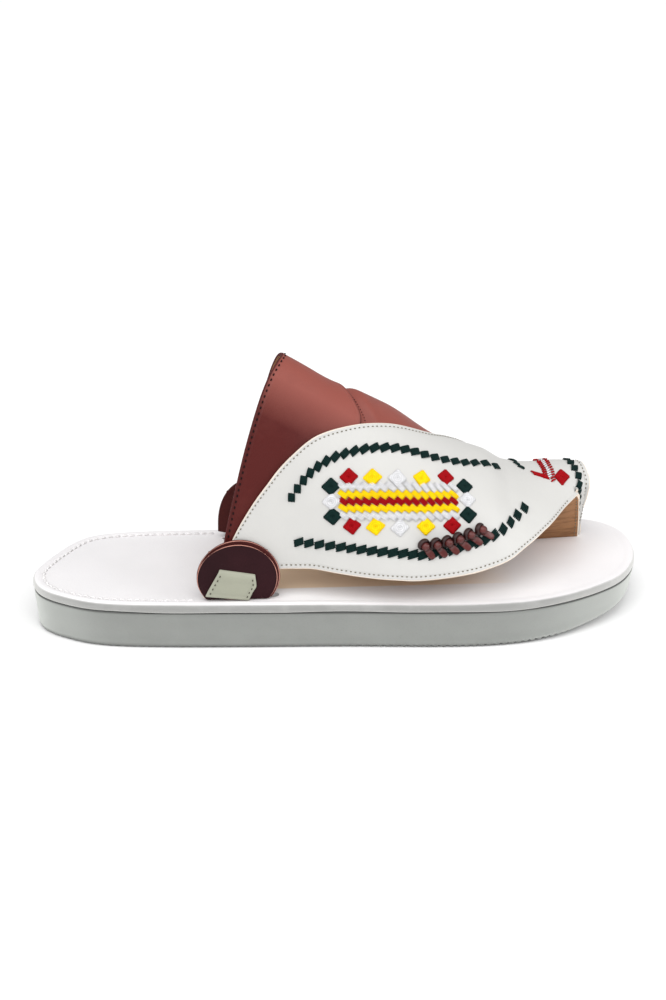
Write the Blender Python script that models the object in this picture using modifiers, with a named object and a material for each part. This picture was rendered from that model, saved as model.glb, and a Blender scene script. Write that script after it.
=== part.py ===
"""Arabic sandal, right foot: a moulded sole, a wrapped footbed and layered leather straps.

The sandal lies along X with its toe at +X.  +Y is the inner (big toe) side, -Y the outer side,
and +Z is up.  The origin is on the flat of the sole's underside.  Every strap is a sheet that
follows one arch over the foot: a point of the arch is given by its place along the sandal and
its share s of the way over, from 0 at the outer foot of the arch to 1 at its inner foot.
"""
import math

import bmesh
import bpy
import numpy as np

# ------------------------------------------------------------------ driving dimensions, metres
MM = 0.001
SOLE_LENGTH = 291.5 * MM
BALL_WIDTH = 100.0 * MM
HEEL_TO_ORIGIN = 143.5 * MM
SOLE_HEIGHT = 18.2 * MM
BED_HEIGHT = 22.4 * MM
INSTEP_HEIGHT = 105.0 * MM
TOE_SPRING = 8.5 * MM
SPRING_START = 50.0 * MM
SPRING_POWER = 2.6
CLEARANCE = 0.3 * MM

STRAP_WALL = 1.8 * MM
DISC_WALL = 1.4 * MM
TAB_WALL = 1.2 * MM
LAYER_CLEARANCE = 0.7 * MM
STRAP_STEP = STRAP_WALL + LAYER_CLEARANCE
SLOT_MARGIN = 0.6 * MM
CUTTER_DEPTH = 20 * MM

# ------------------------------------------------------------------ tables of sections
# Sole outline, from the heel end to the toe end.  "along" is a share of the sole's length;
# "outer" and "inner" are the two edges' places across, as shares of the ball width.
SOLE_OUTLINE = [
    # along, outer, inner
    (0.000, -0.090, -0.090),
    (0.015, -0.240, 0.060),
    (0.057, -0.345, 0.275),
    (0.108, -0.415, 0.375),
    (0.201, -0.455, 0.400),
    (0.355, -0.480, 0.400),
    (0.509, -0.500, 0.425),
    (0.647, -0.528, 0.460),
    (0.767, -0.523, 0.480),
    (0.856, -0.455, 0.475),
    (0.921, -0.345, 0.445),
    (0.966, -0.220, 0.380),
    (0.993, -0.050, 0.260),
    (1.000, 0.110, 0.110),
]

# Moulded sole, from the middle of its underside to its top: millimetres in from the outline, and up.
SOLE_PROFILE = [
    # inset, height
    (12.0, 0.0),
    (4.4, 0.0),
    (3.0, 0.5),
    (2.1, 2.0),
    (1.0, 10.0),
    (0.4, 17.4),
    (0.9, 18.2),
    (12.0, 18.2),
]

# Wrapped footbed, from its underside over the rolled rim to the bed inside the stitch line.
FOOTBED_PROFILE = [
    # inset, height
    (12.0, 18.5),
    (1.0, 18.5),
    (0.1, 19.2),
    (0.0, 21.2),
    (0.8, 22.5),
    (2.6, 23.1),
    (4.4, 22.8),
    (6.0, 22.3),
    (12.0, 22.4),
]

# The arch over the foot.  "along" is in millimetres from the origin, "crest" is the height over
# the bed as a share of the instep height, the rest are places across as shares of the ball width.
ARCH_SECTIONS = [
    # along, crest, crest across, outer foot, inner foot
    (-70.0, 1.270, 0.020, -0.350, 0.290),
    (-45.0, 1.125, 0.020, -0.350, 0.290),
    (-25.0, 1.000, 0.020, -0.350, 0.290),
    (3.0, 0.832, 0.030, -0.420, 0.340),
    (25.0, 0.735, 0.040, -0.480, 0.380),
    (47.0, 0.583, 0.050, -0.500, 0.410),
    (60.0, 0.512, 0.065, -0.500, 0.410),
    (71.0, 0.466, 0.090, -0.490, 0.400),
    (82.0, 0.395, 0.130, -0.470, 0.385),
    (97.0, 0.358, 0.190, -0.380, 0.380),
    (110.0, 0.350, 0.230, -0.190, 0.380),
    (122.0, 0.338, 0.240, 0.030, 0.380),
]
ARCH_ACROSS_POWER = 2.0
ARCH_HEIGHT_POWER = 1.35
# Past either foot of the arch a sheet goes straight down: this far for one whole share.
ROOT_REACH = 100 * MM

# White vamp: its lower (free) edge, its fold line and its upper edge as shares of the way over.
VAMP_EDGES = [
    # along, lower, fold, upper
    (-62.0, -0.035, -0.010, 0.015),
    (-56.0, -0.035, 0.000, 0.055),
    (-48.0, -0.035, 0.040, 0.121),
    (-40.0, -0.035, 0.065, 0.167),
    (-32.0, -0.030, 0.090, 0.210),
    (-27.0, 0.060, 0.150, 0.236),
    (-20.0, 0.082, 0.170, 0.268),
    (-8.0, 0.088, 0.200, 0.324),
    (8.0, 0.087, 0.220, 0.377),
    (31.0, 0.091, 0.260, 0.434),
    (47.0, 0.106, 0.290, 0.494),
    (60.0, 0.124, 0.310, 0.575),
    (72.0, 0.148, 0.320, 0.700),
    (80.0, 0.176, 0.325, 0.840),
    (86.0, 0.204, 0.330, 0.960),
    (90.0, 0.220, 0.332, 1.035),
    (104.0, 0.273, 0.335, 1.035),
    (112.0, 0.302, 0.338, 1.035),
    (116.5, 0.319, 0.342, 1.035),
]

# Rear strap: its rear and front edges along, for each share of the way over.
INSTEP_STRAP_EDGES = [
    # share, rear, front
    (-0.035, -59.0, -30.0),
    (0.000, -58.0, -29.0),
    (0.119, -52.0, -18.0),
    (0.209, -45.0, -5.0),
    (0.306, -37.5, 7.0),
    (0.396, -31.0, 13.0),
    (0.441, -28.0, 11.5),
    (0.500, -25.5, 6.5),
    (0.550, -26.5, 1.0),
    (0.700, -32.0, -5.0),
    (0.850, -41.5, -12.0),
    (1.000, -51.0, -20.0),
    (1.035, -51.5, -20.5),
]

# Front strap: the share of the way over at which it starts (under the vamp) and ends (inner edge).
FRONT_STRAP_EDGES = [
    # along, start, end
    (-31.0, 0.965, 1.035),
    (-26.0, 0.880, 1.035),
    (-21.0, 0.800, 1.020),
    (-15.0, 0.680, 0.945),
    (-8.0, 0.540, 0.925),
    (-2.0, 0.460, 0.920),
    (5.0, 0.340, 0.920),
    (20.0, 0.350, 0.920),
    (35.0, 0.385, 0.915),
    (47.0, 0.430, 0.910),
    (60.0, 0.510, 0.905),
    (72.0, 0.640, 0.900),
    (80.0, 0.780, 0.900),
    (86.0, 0.880, 0.915),
]


def millimetre_column(rows, column):
    """One column of a table given in millimetres, in metres."""
    return [row[column] * MM for row in rows]


def scaled_column(rows, column, size):
    """One column of a table given as shares of a driving dimension, in metres."""
    return [row[column] * size for row in rows]


# ------------------------------------------------------------------ curves through tables
def steady_curve(places, values, at):
    """Cubic through (places, values) that never overshoots, read at the places in at."""
    places = np.asarray(places, float)
    values = np.asarray(values, float)
    step = np.diff(places)
    slope = np.diff(values) / step
    product = slope[:-1] * slope[1:]
    total = slope[:-1] + slope[1:]
    inner = np.where(product > 0, 2 * product / np.where(total == 0, 1, total), 0)
    tangent = np.concatenate([slope[:1], inner, slope[-1:]])
    at = np.clip(at, places[0], places[-1])
    span = np.clip(np.searchsorted(places, at) - 1, 0, len(places) - 2)
    width = step[span]
    t = (at - places[span]) / width
    start = values[span] * (1 + 2 * t) * (1 - t) ** 2 + tangent[span] * width * t * (1 - t) ** 2
    end = values[span + 1] * t * t * (3 - 2 * t) + tangent[span + 1] * width * t * t * (t - 1)
    return start + end


def smooth_loop(points, steps):
    """Closed curve with even curvature through points: steps places in each gap."""
    wrap = 4
    around = np.array(points[-wrap:] + points + points[:wrap + 1], float)
    count = len(around)
    system = np.eye(count)
    bend = np.zeros((count, 2))
    for i in range(1, count - 1):
        system[i, i - 1:i + 2] = (1, 4, 1)
        bend[i] = 6 * (around[i + 1] - 2 * around[i] + around[i - 1])
    bend = np.linalg.solve(system, bend)
    curve = []
    for i in range(wrap, wrap + len(points)):
        for k in range(steps):
            t = k / steps
            low = (1 - t) * around[i] + ((1 - t) ** 3 - (1 - t)) / 6 * bend[i]
            high = t * around[i + 1] + (t ** 3 - t) / 6 * bend[i + 1]
            curve.append(low + high)
    return np.array(curve)


def ease(share):
    """0 below share 0, 1 above share 1, and a soft step between."""
    share = np.clip(share, 0, 1)
    return share * share * (3 - 2 * share)


# ------------------------------------------------------------------ sole and footbed
OUTLINE_STEPS = 3


def sole_loop():
    """The sole's outline from above: heel end, outer side, toe end, inner side."""
    outer = [(along * SOLE_LENGTH - HEEL_TO_ORIGIN, out * BALL_WIDTH) for along, out, _ in SOLE_OUTLINE]
    inner = [(along * SOLE_LENGTH - HEEL_TO_ORIGIN, ins * BALL_WIDTH) for along, _, ins in SOLE_OUTLINE]
    return smooth_loop(outer + inner[-2:0:-1], OUTLINE_STEPS)


def inset_loop(loop, inset):
    """The loop moved inwards by inset, square to itself."""
    ahead = np.roll(loop, -1, axis=0) - np.roll(loop, 1, axis=0)
    ahead /= np.linalg.norm(ahead, axis=1, keepdims=True)
    inward = np.stack([-ahead[:, 1], ahead[:, 0]], axis=1)
    return loop + inward * inset


def toe_lift(along):
    """How far the sole's underside curls up off the floor towards the toe."""
    reach = SOLE_LENGTH - HEEL_TO_ORIGIN - SPRING_START
    return TOE_SPRING * np.clip((along - SPRING_START) / reach, 0, 1) ** SPRING_POWER


def sprung(height, along):
    """A height of the moulded sole, squeezed up over the lifted toe."""
    return height + toe_lift(along) * (1 - height / SOLE_HEIGHT)


def layered_solid(name, profile, lift):
    """A closed body from rings of the sole's outline, one for each (inset, height) of profile."""
    loop = sole_loop()
    count = len(loop)
    half = count // 2
    body = bmesh.new()
    rings = []
    for inset, height in profile:
        ring = inset_loop(loop, inset * MM)
        rings.append([body.verts.new((x, y, lift(height * MM, x))) for x, y in ring])
    for low, high in zip(rings, rings[1:]):
        for i in range(count):
            j = (i + 1) % count
            body.faces.new((low[i], low[j], high[j], high[i]))
    for ring, downward in ((rings[0], True), (rings[-1], False)):
        for i in range(half):
            across = (ring[i], ring[i + 1], ring[count - i - 1], ring[-i])
            corners = list(dict.fromkeys(across))
            body.faces.new(corners[::-1] if downward else corners)
    mesh = bpy.data.meshes.new(name)
    body.to_mesh(mesh)
    body.free()
    return mesh


# ------------------------------------------------------------------ the arch over the foot
def arch_base(along, share):
    """Points of the arch's own surface: (.., 3) for arrays of along (metres) and share."""
    along, share = np.broadcast_arrays(np.asarray(along, float), np.asarray(share, float))
    places = millimetre_column(ARCH_SECTIONS, 0)
    crest = steady_curve(places, scaled_column(ARCH_SECTIONS, 1, INSTEP_HEIGHT), along)
    middle, outer, inner = (
        steady_curve(places, scaled_column(ARCH_SECTIONS, column, BALL_WIDTH), along)
        for column in (2, 3, 4))
    over = np.clip(share, 0, 1)
    turn = -np.cos(math.pi * over)
    width = np.where(turn < 0, middle - outer, inner - middle)
    across = middle + width * np.sign(turn) * np.abs(turn) ** (2 / ARCH_ACROSS_POWER)
    height = crest * np.abs(np.sin(math.pi * over)) ** (2 / ARCH_HEIGHT_POWER)
    root = np.abs(share - over) * ROOT_REACH
    return np.stack([along, across, BED_HEIGHT + height - root], axis=-1)


def arch_normal(along, share):
    """Unit vectors square to the arch, pointing off the foot."""
    step_along = 0.5 * MM
    step_share = 0.002
    share = np.clip(share, 2 * step_share, 1 - 2 * step_share)
    ahead = arch_base(along + step_along, share) - arch_base(along - step_along, share)
    over = arch_base(along, share + step_share) - arch_base(along, share - step_share)
    normal = np.cross(ahead, over)
    return normal / np.linalg.norm(normal, axis=-1, keepdims=True)


def arch_layer(along, share, off):
    """Points at the distance off from the arch's surface."""
    off = np.asarray(off, float)
    return arch_base(along, share) + arch_normal(along, share) * off[..., None]


def share_at_height(along, height):
    """The share on the arch's outer side that lies at a height over the bed."""
    crest = steady_curve(
        millimetre_column(ARCH_SECTIONS, 0), scaled_column(ARCH_SECTIONS, 1, INSTEP_HEIGHT), along)
    return np.arcsin((height / crest) ** (ARCH_HEIGHT_POWER / 2)) / math.pi


# ------------------------------------------------------------------ strap sheets
VAMP_OFF = STRAP_STEP
VAMP_LEAF_ROWS = 9
VAMP_RING_ROWS = 9
FOLD_START = 84 * MM
FOLD_FULL = 100 * MM
FOLD_END = 116.5 * MM
FOLD_HALF_GAP = 1.4 * MM
FOLD_SHOULDER = 0.015
FOLD_FOOT = (21.6 * MM, 19.7 * MM)
FOLD_LEAN = 2.8 * MM
FOLD_BLEND = 10 * MM
# Down one side of the fold, round its foot and up the other: share of its depth, and side.
FOLD_PATH = [(0.10, -1.0), (0.40, -1.0), (0.75, -1.0), (0.95, -0.9), (1.00, 0.0),
             (0.95, 0.9), (0.75, 1.0), (0.40, 1.0), (0.10, 1.0)]
# How far the front hem stands forward of the fold's own front edge, from the leaf's corner,
# down the fold, up its far side and over the toe ring to the ring's inner foot.
HEM_FORWARD = [(0.0, 0.0), (0.33, 0.0), (0.45, 4.5), (0.50, 5.5), (0.56, 7.0), (0.66, 9.0),
               (0.72, 8.0), (0.80, 3.0), (0.92, 4.0), (1.0, 3.0)]


def vamp_sheet():
    """The white vamp: a leaf from the outer side that folds down beside the big toe and rings it."""
    places = millimetre_column(VAMP_EDGES, 0)
    along = np.concatenate([
        np.linspace(places[0], -27 * MM, 8)[:-1],
        np.linspace(-27 * MM, 58 * MM, 11)[:-1],
        np.linspace(58 * MM, FOLD_END, 15)])
    lower, fold, upper = (
        steady_curve(places, [row[column] for row in VAMP_EDGES], along) for column in (1, 2, 3))
    rows_leaf = np.linspace(0, 1, VAMP_LEAF_ROWS)
    rows_fold = np.linspace(0, 1, len(FOLD_PATH) + 2)[1:-1]
    rows_ring = np.linspace(0, 1, VAMP_RING_ROWS)
    shoulder = np.minimum(FOLD_SHOULDER, 0.45 * np.minimum(fold - lower, upper - fold))
    leaf_end = (fold - shoulder)[:, None]
    ring_start = (fold + shoulder)[:, None]
    share = np.concatenate([
        lower[:, None] + (leaf_end - lower[:, None]) * rows_leaf,
        leaf_end + (ring_start - leaf_end) * rows_fold,
        ring_start + (upper[:, None] - ring_start) * rows_ring], axis=1)
    way = np.linspace(0, 1, share.shape[1])
    forward = steady_curve([row[0] for row in HEM_FORWARD], millimetre_column(HEM_FORWARD, 1), way)
    place = along[:, None] + forward * ease((along[:, None] - FOLD_START) / (FOLD_END - FOLD_START))
    points = arch_layer(place, share, np.full(share.shape, VAMP_OFF))
    first = VAMP_LEAF_ROWS
    last = first + len(FOLD_PATH)
    deep = ease((along - FOLD_START) / (FOLD_FULL - FOLD_START))
    top = 0.5 * (points[:, first - 1] + points[:, last])
    foot = np.stack([top[:, 0], np.full(len(top), FOLD_FOOT[0]), np.full(len(top), FOLD_FOOT[1])], axis=1)
    down = (foot - top) * deep[:, None]
    length = np.linalg.norm(foot - top, axis=1, keepdims=True)
    side = np.cross((foot - top) / length, (-1, 0, 0))
    folded = np.minimum(1, np.linalg.norm(down, axis=1) / FOLD_BLEND)[:, None]
    for k, (depth, which) in enumerate(FOLD_PATH):
        target = top + down * depth + side * which * FOLD_HALF_GAP
        target[:, 0] = points[:, first + k, 0]
        points[:, first + k] = points[:, first + k] * (1 - folded) + target * folded
    return points


def instep_strap_sheet():
    """The rear strap: from the outer slot over the instep to the inner slot."""
    shares = [row[0] for row in INSTEP_STRAP_EDGES]
    share = np.concatenate([shares[:1], np.linspace(0, 1, 23), shares[-1:]])
    rear = steady_curve(shares, millimetre_column(INSTEP_STRAP_EDGES, 1), share)
    front = steady_curve(shares, millimetre_column(INSTEP_STRAP_EDGES, 2), share)
    way = np.linspace(0, 1, 8)[:, None]
    along = rear + (front - rear) * way
    share = np.broadcast_to(share, along.shape)
    return arch_layer(along, share, np.zeros(along.shape))


# In front of the rear strap, where the front strap starts to rise onto the arch, and its rise's reach.
RAMP_START = 3 * MM
RAMP_REACH = 6 * MM


def front_strap_sheet():
    """The front strap: from under the vamp over the ridge to the inner slot and the toe ring."""
    places = millimetre_column(FRONT_STRAP_EDGES, 0)
    along = np.concatenate([
        np.linspace(places[0], 25 * MM, 15)[:-1], np.linspace(25 * MM, places[-1], 12)])[:, None]
    start = steady_curve(places, [row[1] for row in FRONT_STRAP_EDGES], along)
    end = steady_curve(places, [row[2] for row in FRONT_STRAP_EDGES], along)
    share = start + (end - start) * np.linspace(0, 1, 17)
    along = np.broadcast_to(along, share.shape)
    shares = [row[0] for row in INSTEP_STRAP_EDGES]
    strap_front = steady_curve(shares, millimetre_column(INSTEP_STRAP_EDGES, 2), share)
    clear = ease((along - strap_front - RAMP_START) / RAMP_REACH)
    return arch_layer(along, share, -STRAP_STEP * (1 - clear))


# ------------------------------------------------------------------ discs, tabs and knots
# Each anchor's place along, the side it is on, and how far off the arch its first disc lies.
ANCHORS = {
    # side: (middle along, first layer off the arch)
    "outer": (-46.0 * MM, VAMP_OFF + 0.5 * STRAP_WALL + CLEARANCE + 0.5 * DISC_WALL),
    "inner": (-37.0 * MM, 0.5 * STRAP_WALL + CLEARANCE + 0.5 * DISC_WALL),
}
DISC_STEP = DISC_WALL + CLEARANCE
DISC_FOOT = 0.6 * MM
DISC_SIDES = 32
DISC_RINGS = 2
# Disc outlines: shift along, height of the middle over the bed, half width, half height.
BACK_DISC = (0.0, 10.5 * MM, 18.8 * MM, 16.8 * MM)
FRONT_DISC = (0.8 * MM, 10.2 * MM, 18.2 * MM, 15.5 * MM)
# Keeper tab: from its foot to its folded top, where its two side edges lie along (from the
# anchor's middle) and how high over the bed.
TAB_EDGES = [
    # height, rear, front
    (0.6, -15.0, 5.0),
    (4.5, -13.2, 6.8),
    (8.5, -11.2, 9.2),
    (14.0, -8.5, 9.0),
]
TAB_COLUMNS = 6

KNOTS = 6
# Row of knots on the vamp: along and share of the first and of the last knot, and the row's sag.
KNOT_FIRST = (38.5 * MM, 0.176)
KNOT_LAST = (65.0 * MM, 0.236)
KNOT_SAG = 0.006
KNOT_REACH = (5.4 * MM, -0.019)
# One knot, from its round head along its tongue: along, half width and half thickness.
KNOT_FORM = [
    # along, half width, half thickness
    (-2.9, 0.8, 0.5),
    (-2.4, 1.9, 1.2),
    (-1.0, 2.6, 1.8),
    (0.8, 2.5, 1.7),
    (2.0, 1.6, 1.0),
    (3.2, 1.8, 0.7),
    (5.2, 1.7, 0.5),
    (7.0, 0.7, 0.4),
]
KNOT_SIDES = 10


def anchor_sheet(side, along, height, off):
    """Points on one side of the arch, from places along and heights over the bed."""
    share = share_at_height(along, height)
    if side == "inner":
        share = 1 - share
    return arch_layer(along, share, np.full(share.shape, off))


def disc_sheet(side, outline, off):
    """A half-moon: rings from its middle to a round edge that is cut off along the bed."""
    shift, rise, half_width, half_height = outline
    angle = np.linspace(0, 2 * math.pi, DISC_SIDES, endpoint=False)
    out = np.stack([half_width * np.cos(angle), half_height * np.sin(angle)], axis=1)
    drop = rise - DISC_FOOT
    cut = np.where(out[:, 1] < -drop, drop / np.maximum(-out[:, 1], drop), 1.0)
    out *= cut[:, None]
    reach = (np.arange(DISC_RINGS) + 1)[:, None] / DISC_RINGS
    along = ANCHORS[side][0] + shift + out[:, 0] * reach
    height = rise + out[:, 1] * reach
    centre = np.array([ANCHORS[side][0] + shift]), np.array([rise])
    rim = anchor_sheet(side, along, height, off)
    return anchor_sheet(side, *centre, off)[0], rim


def tab_sheet(side, off):
    """The keeper tab that is sewn over the foot of a disc."""
    heights = millimetre_column(TAB_EDGES, 0)
    rear = np.array(millimetre_column(TAB_EDGES, 1))[:, None]
    front = np.array(millimetre_column(TAB_EDGES, 2))[:, None]
    along = ANCHORS[side][0] + rear + (front - rear) * np.linspace(0, 1, TAB_COLUMNS)
    height = np.broadcast_to(np.array(heights)[:, None], along.shape)
    return anchor_sheet(side, along, height, off)


def knot_rings(number):
    """Rings of points for one leather knot, on the outside of the vamp."""
    way = number / (KNOTS - 1)
    along = KNOT_FIRST[0] + (KNOT_LAST[0] - KNOT_FIRST[0]) * way
    sag = KNOT_SAG * 4 * way * (1 - way)
    share = KNOT_FIRST[1] + (KNOT_LAST[1] - KNOT_FIRST[1]) * way - sag
    seat = VAMP_OFF + 0.5 * STRAP_WALL + CLEARANCE
    head = arch_layer(along, share, seat)
    tail = arch_layer(along + KNOT_REACH[0], share + KNOT_REACH[1], seat)
    ahead = (tail - head) / np.linalg.norm(tail - head)
    up = arch_normal(along + 0.5 * KNOT_REACH[0], share + 0.5 * KNOT_REACH[1])
    up = up - ahead * np.dot(up, ahead)
    up /= np.linalg.norm(up)
    across = np.cross(up, ahead)
    angle = np.linspace(0, 2 * math.pi, KNOT_SIDES, endpoint=False)[:, None]
    rings = []
    for place, half_width, half_thick in KNOT_FORM:
        middle = head + ahead * place * MM + up * half_thick * MM
        rings.append(middle + across * half_width * MM * np.cos(angle)
                     + up * half_thick * MM * np.sin(angle))
    return np.array(rings)


# ------------------------------------------------------------------ meshes and materials
def grid_mesh(name, points):
    """An open sheet through a grid of points."""
    rows, columns = points.shape[:2]
    index = np.arange(rows * columns).reshape(rows, columns)
    faces = np.stack([index[:-1, :-1], index[1:, :-1], index[1:, 1:], index[:-1, 1:]], axis=-1)
    mesh = bpy.data.meshes.new(name)
    mesh.from_pydata(points.reshape(-1, 3).tolist(), [], faces.reshape(-1, 4).tolist())
    return mesh


def round_mesh(name, centre, rings):
    """An open sheet of rings around a centre."""
    count, sides = rings.shape[:2]
    ring = 1 + np.arange(count * sides).reshape(count, sides)
    beside = np.roll(ring, -1, axis=1)
    bands = np.stack([ring[:-1], ring[1:], beside[1:], beside[:-1]], axis=-1).reshape(-1, 4)
    fan = [(0, int(a), int(b)) for a, b in zip(ring[0], beside[0])]
    mesh = bpy.data.meshes.new(name)
    mesh.from_pydata([centre.tolist()] + rings.reshape(-1, 3).tolist(), [], fan + bands.tolist())
    return mesh


def tube_mesh(name, rings):
    """A closed body through rings of points, with a flat face at each end."""
    count, sides = rings.shape[:2]
    index = np.arange(count * sides).reshape(count, sides)
    beside = np.roll(index, -1, axis=1)
    bands = np.stack([index[:-1], beside[:-1], beside[1:], index[1:]], axis=-1).reshape(-1, 4)
    ends = [index[0][::-1].tolist(), index[-1].tolist()]
    mesh = bpy.data.meshes.new(name)
    mesh.from_pydata(rings.reshape(-1, 3).tolist(), [], bands.tolist() + ends)
    return mesh


def principled(name, colour, roughness):
    """A Principled material of one colour (linear) and roughness; nothing here is metal."""
    material = bpy.data.materials.new(name)
    material.use_nodes = True
    shader = material.node_tree.nodes["Principled BSDF"]
    shader.inputs["Base Color"].default_value = (*colour, 1.0)
    shader.inputs["Roughness"].default_value = roughness
    shader.inputs["Metallic"].default_value = 0.0
    return material


def collection(name):
    """A new collection in the scene."""
    made = bpy.data.collections.new(name)
    bpy.context.scene.collection.children.link(made)
    return made


def place_solid(home, name, mesh, material, wall=0.0):
    """An object for a mesh; a sheet gets its wall, half to each side."""
    mesh.materials.append(material)
    mesh.shade_smooth()
    mesh.set_sharp_from_angle(angle=math.radians(40))
    solid = bpy.data.objects.new(name, mesh)
    home.objects.link(solid)
    if wall:
        thicken = solid.modifiers.new("wall", "SOLIDIFY")
        thicken.thickness = wall
        thicken.offset = 0.0
        thicken.use_rim = True
    return solid


def outward(mesh):
    """Turn a closed mesh's faces to point out."""
    body = bmesh.new()
    body.from_mesh(mesh)
    bmesh.ops.recalc_face_normals(body, faces=body.faces)
    body.to_mesh(mesh)
    body.free()


def cut_slot(solid, cutters, name, low, high):
    """Cut a straight slot through the footbed between two corners seen from above."""
    middle = [0.5 * (a + b) for a, b in zip(low, high)]
    bpy.ops.mesh.primitive_cube_add(size=1.0, location=(*middle, BED_HEIGHT))
    cutter = bpy.context.active_object
    cutter.name = name
    cutter.scale = (high[0] - low[0], high[1] - low[1], CUTTER_DEPTH)
    for owner in list(cutter.users_collection):
        owner.objects.unlink(cutter)
    cutters.objects.link(cutter)
    cutter.hide_render = True
    cutter.display_type = "WIRE"
    slot = solid.modifiers.new(name, "BOOLEAN")
    slot.operation = "DIFFERENCE"
    slot.object = cutter


def build_sole(home, cutters):
    """The moulded sole, and the footbed with the slots that the straps go down into."""
    foam = principled("sole_foam", (0.40, 0.40, 0.42), 0.75)
    wrap = principled("footbed_leather", (0.84, 0.84, 0.83), 0.5)
    outsole = layered_solid("outsole", SOLE_PROFILE, sprung)
    outward(outsole)
    place_solid(home, "outsole", outsole, foam)
    bed = layered_solid("footbed", FOOTBED_PROFILE, lambda height, _: height)
    outward(bed)
    footbed = place_solid(home, "footbed", bed, wrap)
    edge = 0.5 * STRAP_WALL + SLOT_MARGIN
    outer_foot = ARCH_SECTIONS[0][3] * BALL_WIDTH
    inner_foot = ARCH_SECTIONS[0][4] * BALL_WIDTH
    ring_foot = ARCH_SECTIONS[-1][4] * BALL_WIDTH + VAMP_OFF
    cut_slot(footbed, cutters, "outer_slot",
             (-63.0 * MM, outer_foot - VAMP_OFF - edge), (-26.5 * MM, outer_foot + edge))
    cut_slot(footbed, cutters, "inner_slot",
             (-52.5 * MM, inner_foot - VAMP_OFF - edge), (-17.0 * MM, inner_foot + edge))
    fold_edge = FOLD_HALF_GAP + edge
    cut_slot(footbed, cutters, "toe_slot",
             (92.5 * MM, FOLD_FOOT[0] - FOLD_LEAN - fold_edge), (123.5 * MM, FOLD_FOOT[0] + fold_edge))
    cut_slot(footbed, cutters, "ring_slot", (84.5 * MM, ring_foot - edge), (121.5 * MM, ring_foot + edge))


def build_straps(home):
    """The vamp and the two brown straps."""
    white = principled("white_leather", (0.82, 0.82, 0.79), 0.45)
    brown = principled("brown_leather", (0.21, 0.05, 0.045), 0.5)
    sheets = (("vamp", vamp_sheet, white), ("instep_strap", instep_strap_sheet, brown),
              ("front_strap", front_strap_sheet, brown))
    for name, sheet, material in sheets:
        place_solid(home, name, grid_mesh(name, sheet()), material, STRAP_WALL)


def build_anchors(home):
    """The two half-moon discs and the keeper tab at each end of the straps."""
    rim = principled("disc_rim_leather", (0.13, 0.03, 0.025), 0.55)
    face = principled("disc_face_leather", (0.045, 0.012, 0.017), 0.55)
    cream = principled("cream_leather", (0.52, 0.54, 0.42), 0.55)
    for side, (_, first) in ANCHORS.items():
        for order, outline, material, part in ((0, BACK_DISC, rim, "back"), (1, FRONT_DISC, face, "front")):
            name = f"{side}_disc_{part}"
            centre, rings = disc_sheet(side, outline, first + order * DISC_STEP)
            place_solid(home, name, round_mesh(name, centre, rings), material, DISC_WALL)
        tab_off = first + 1.5 * DISC_WALL + 2 * CLEARANCE + 0.5 * TAB_WALL
        name = f"{side}_keeper_tab"
        place_solid(home, name, grid_mesh(name, tab_sheet(side, tab_off)), cream, TAB_WALL)


def build_knots(home):
    """The row of leather knots near the vamp's free edge."""
    tan = principled("knot_leather", (0.19, 0.06, 0.045), 0.5)
    for number in range(KNOTS):
        name = f"knot_{number + 1}"
        mesh = tube_mesh(name, knot_rings(number))
        outward(mesh)
        place_solid(home, name, mesh, tan)


def main():
    for old in list(bpy.data.objects):
        bpy.data.objects.remove(old, do_unlink=True)
    home = collection("arabic_sandal")
    cutters = collection("cutters")
    build_sole(home, cutters)
    build_straps(home)
    build_anchors(home)
    build_knots(home)


main()
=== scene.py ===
"""Arabic sandal, right foot: finished leather, sewing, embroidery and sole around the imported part.

The sandal lies along X with its toe at +X, its outer side at -Y and its underside on z = 0.
Every leather sheet follows one arch over the foot: a place on the arch is given by its place
along the sandal, in metres, and its share of the way over, from 0 at the arch's outer foot to 1
at its inner foot.  Grids of points have their rows along the sandal and their columns over it.
"""

import math

import bmesh
import bpy
import numpy as np
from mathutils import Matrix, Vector


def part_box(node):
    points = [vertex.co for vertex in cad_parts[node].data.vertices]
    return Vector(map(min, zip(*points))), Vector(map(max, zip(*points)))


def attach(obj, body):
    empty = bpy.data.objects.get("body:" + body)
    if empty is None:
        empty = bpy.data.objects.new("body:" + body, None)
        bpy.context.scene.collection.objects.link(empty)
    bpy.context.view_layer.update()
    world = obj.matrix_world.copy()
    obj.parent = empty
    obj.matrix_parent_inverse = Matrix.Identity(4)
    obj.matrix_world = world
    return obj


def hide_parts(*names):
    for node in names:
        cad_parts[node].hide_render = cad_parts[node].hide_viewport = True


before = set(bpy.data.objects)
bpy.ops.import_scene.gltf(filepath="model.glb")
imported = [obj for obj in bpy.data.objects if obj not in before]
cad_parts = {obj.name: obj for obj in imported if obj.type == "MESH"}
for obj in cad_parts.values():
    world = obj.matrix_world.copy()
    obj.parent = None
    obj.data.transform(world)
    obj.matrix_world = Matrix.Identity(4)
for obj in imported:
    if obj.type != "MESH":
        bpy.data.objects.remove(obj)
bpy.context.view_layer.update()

bl_info = {
    "name": "Arabic sandal",
    "version": (1, 0, 0),
    "blender": (4, 5, 0),
    "location": "3D View > Sidebar > Sandal",
    "description": "Leather, sewing, embroidery and sole of an arabic sandal",
    "category": "Add Mesh",
}

MM = 0.001
# Sizes that the solids are built with.
SOLE_LOW, SOLE_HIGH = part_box("outsole")
SOLE_LENGTH = SOLE_HIGH.x - SOLE_LOW.x
HEEL = SOLE_LOW.x
SOLE_HEIGHT = SOLE_HIGH.z
BED_HEIGHT = 22.4 * MM
BALL_WIDTH = 100.0 * MM
INSTEP_HEIGHT = 105.0 * MM
# The toe's curl: how high it ends, where it starts along, and its power.
TOE_SPRING = 8.5 * MM
SPRING_START = 50.0 * MM
SPRING_POWER = 2.6


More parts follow.
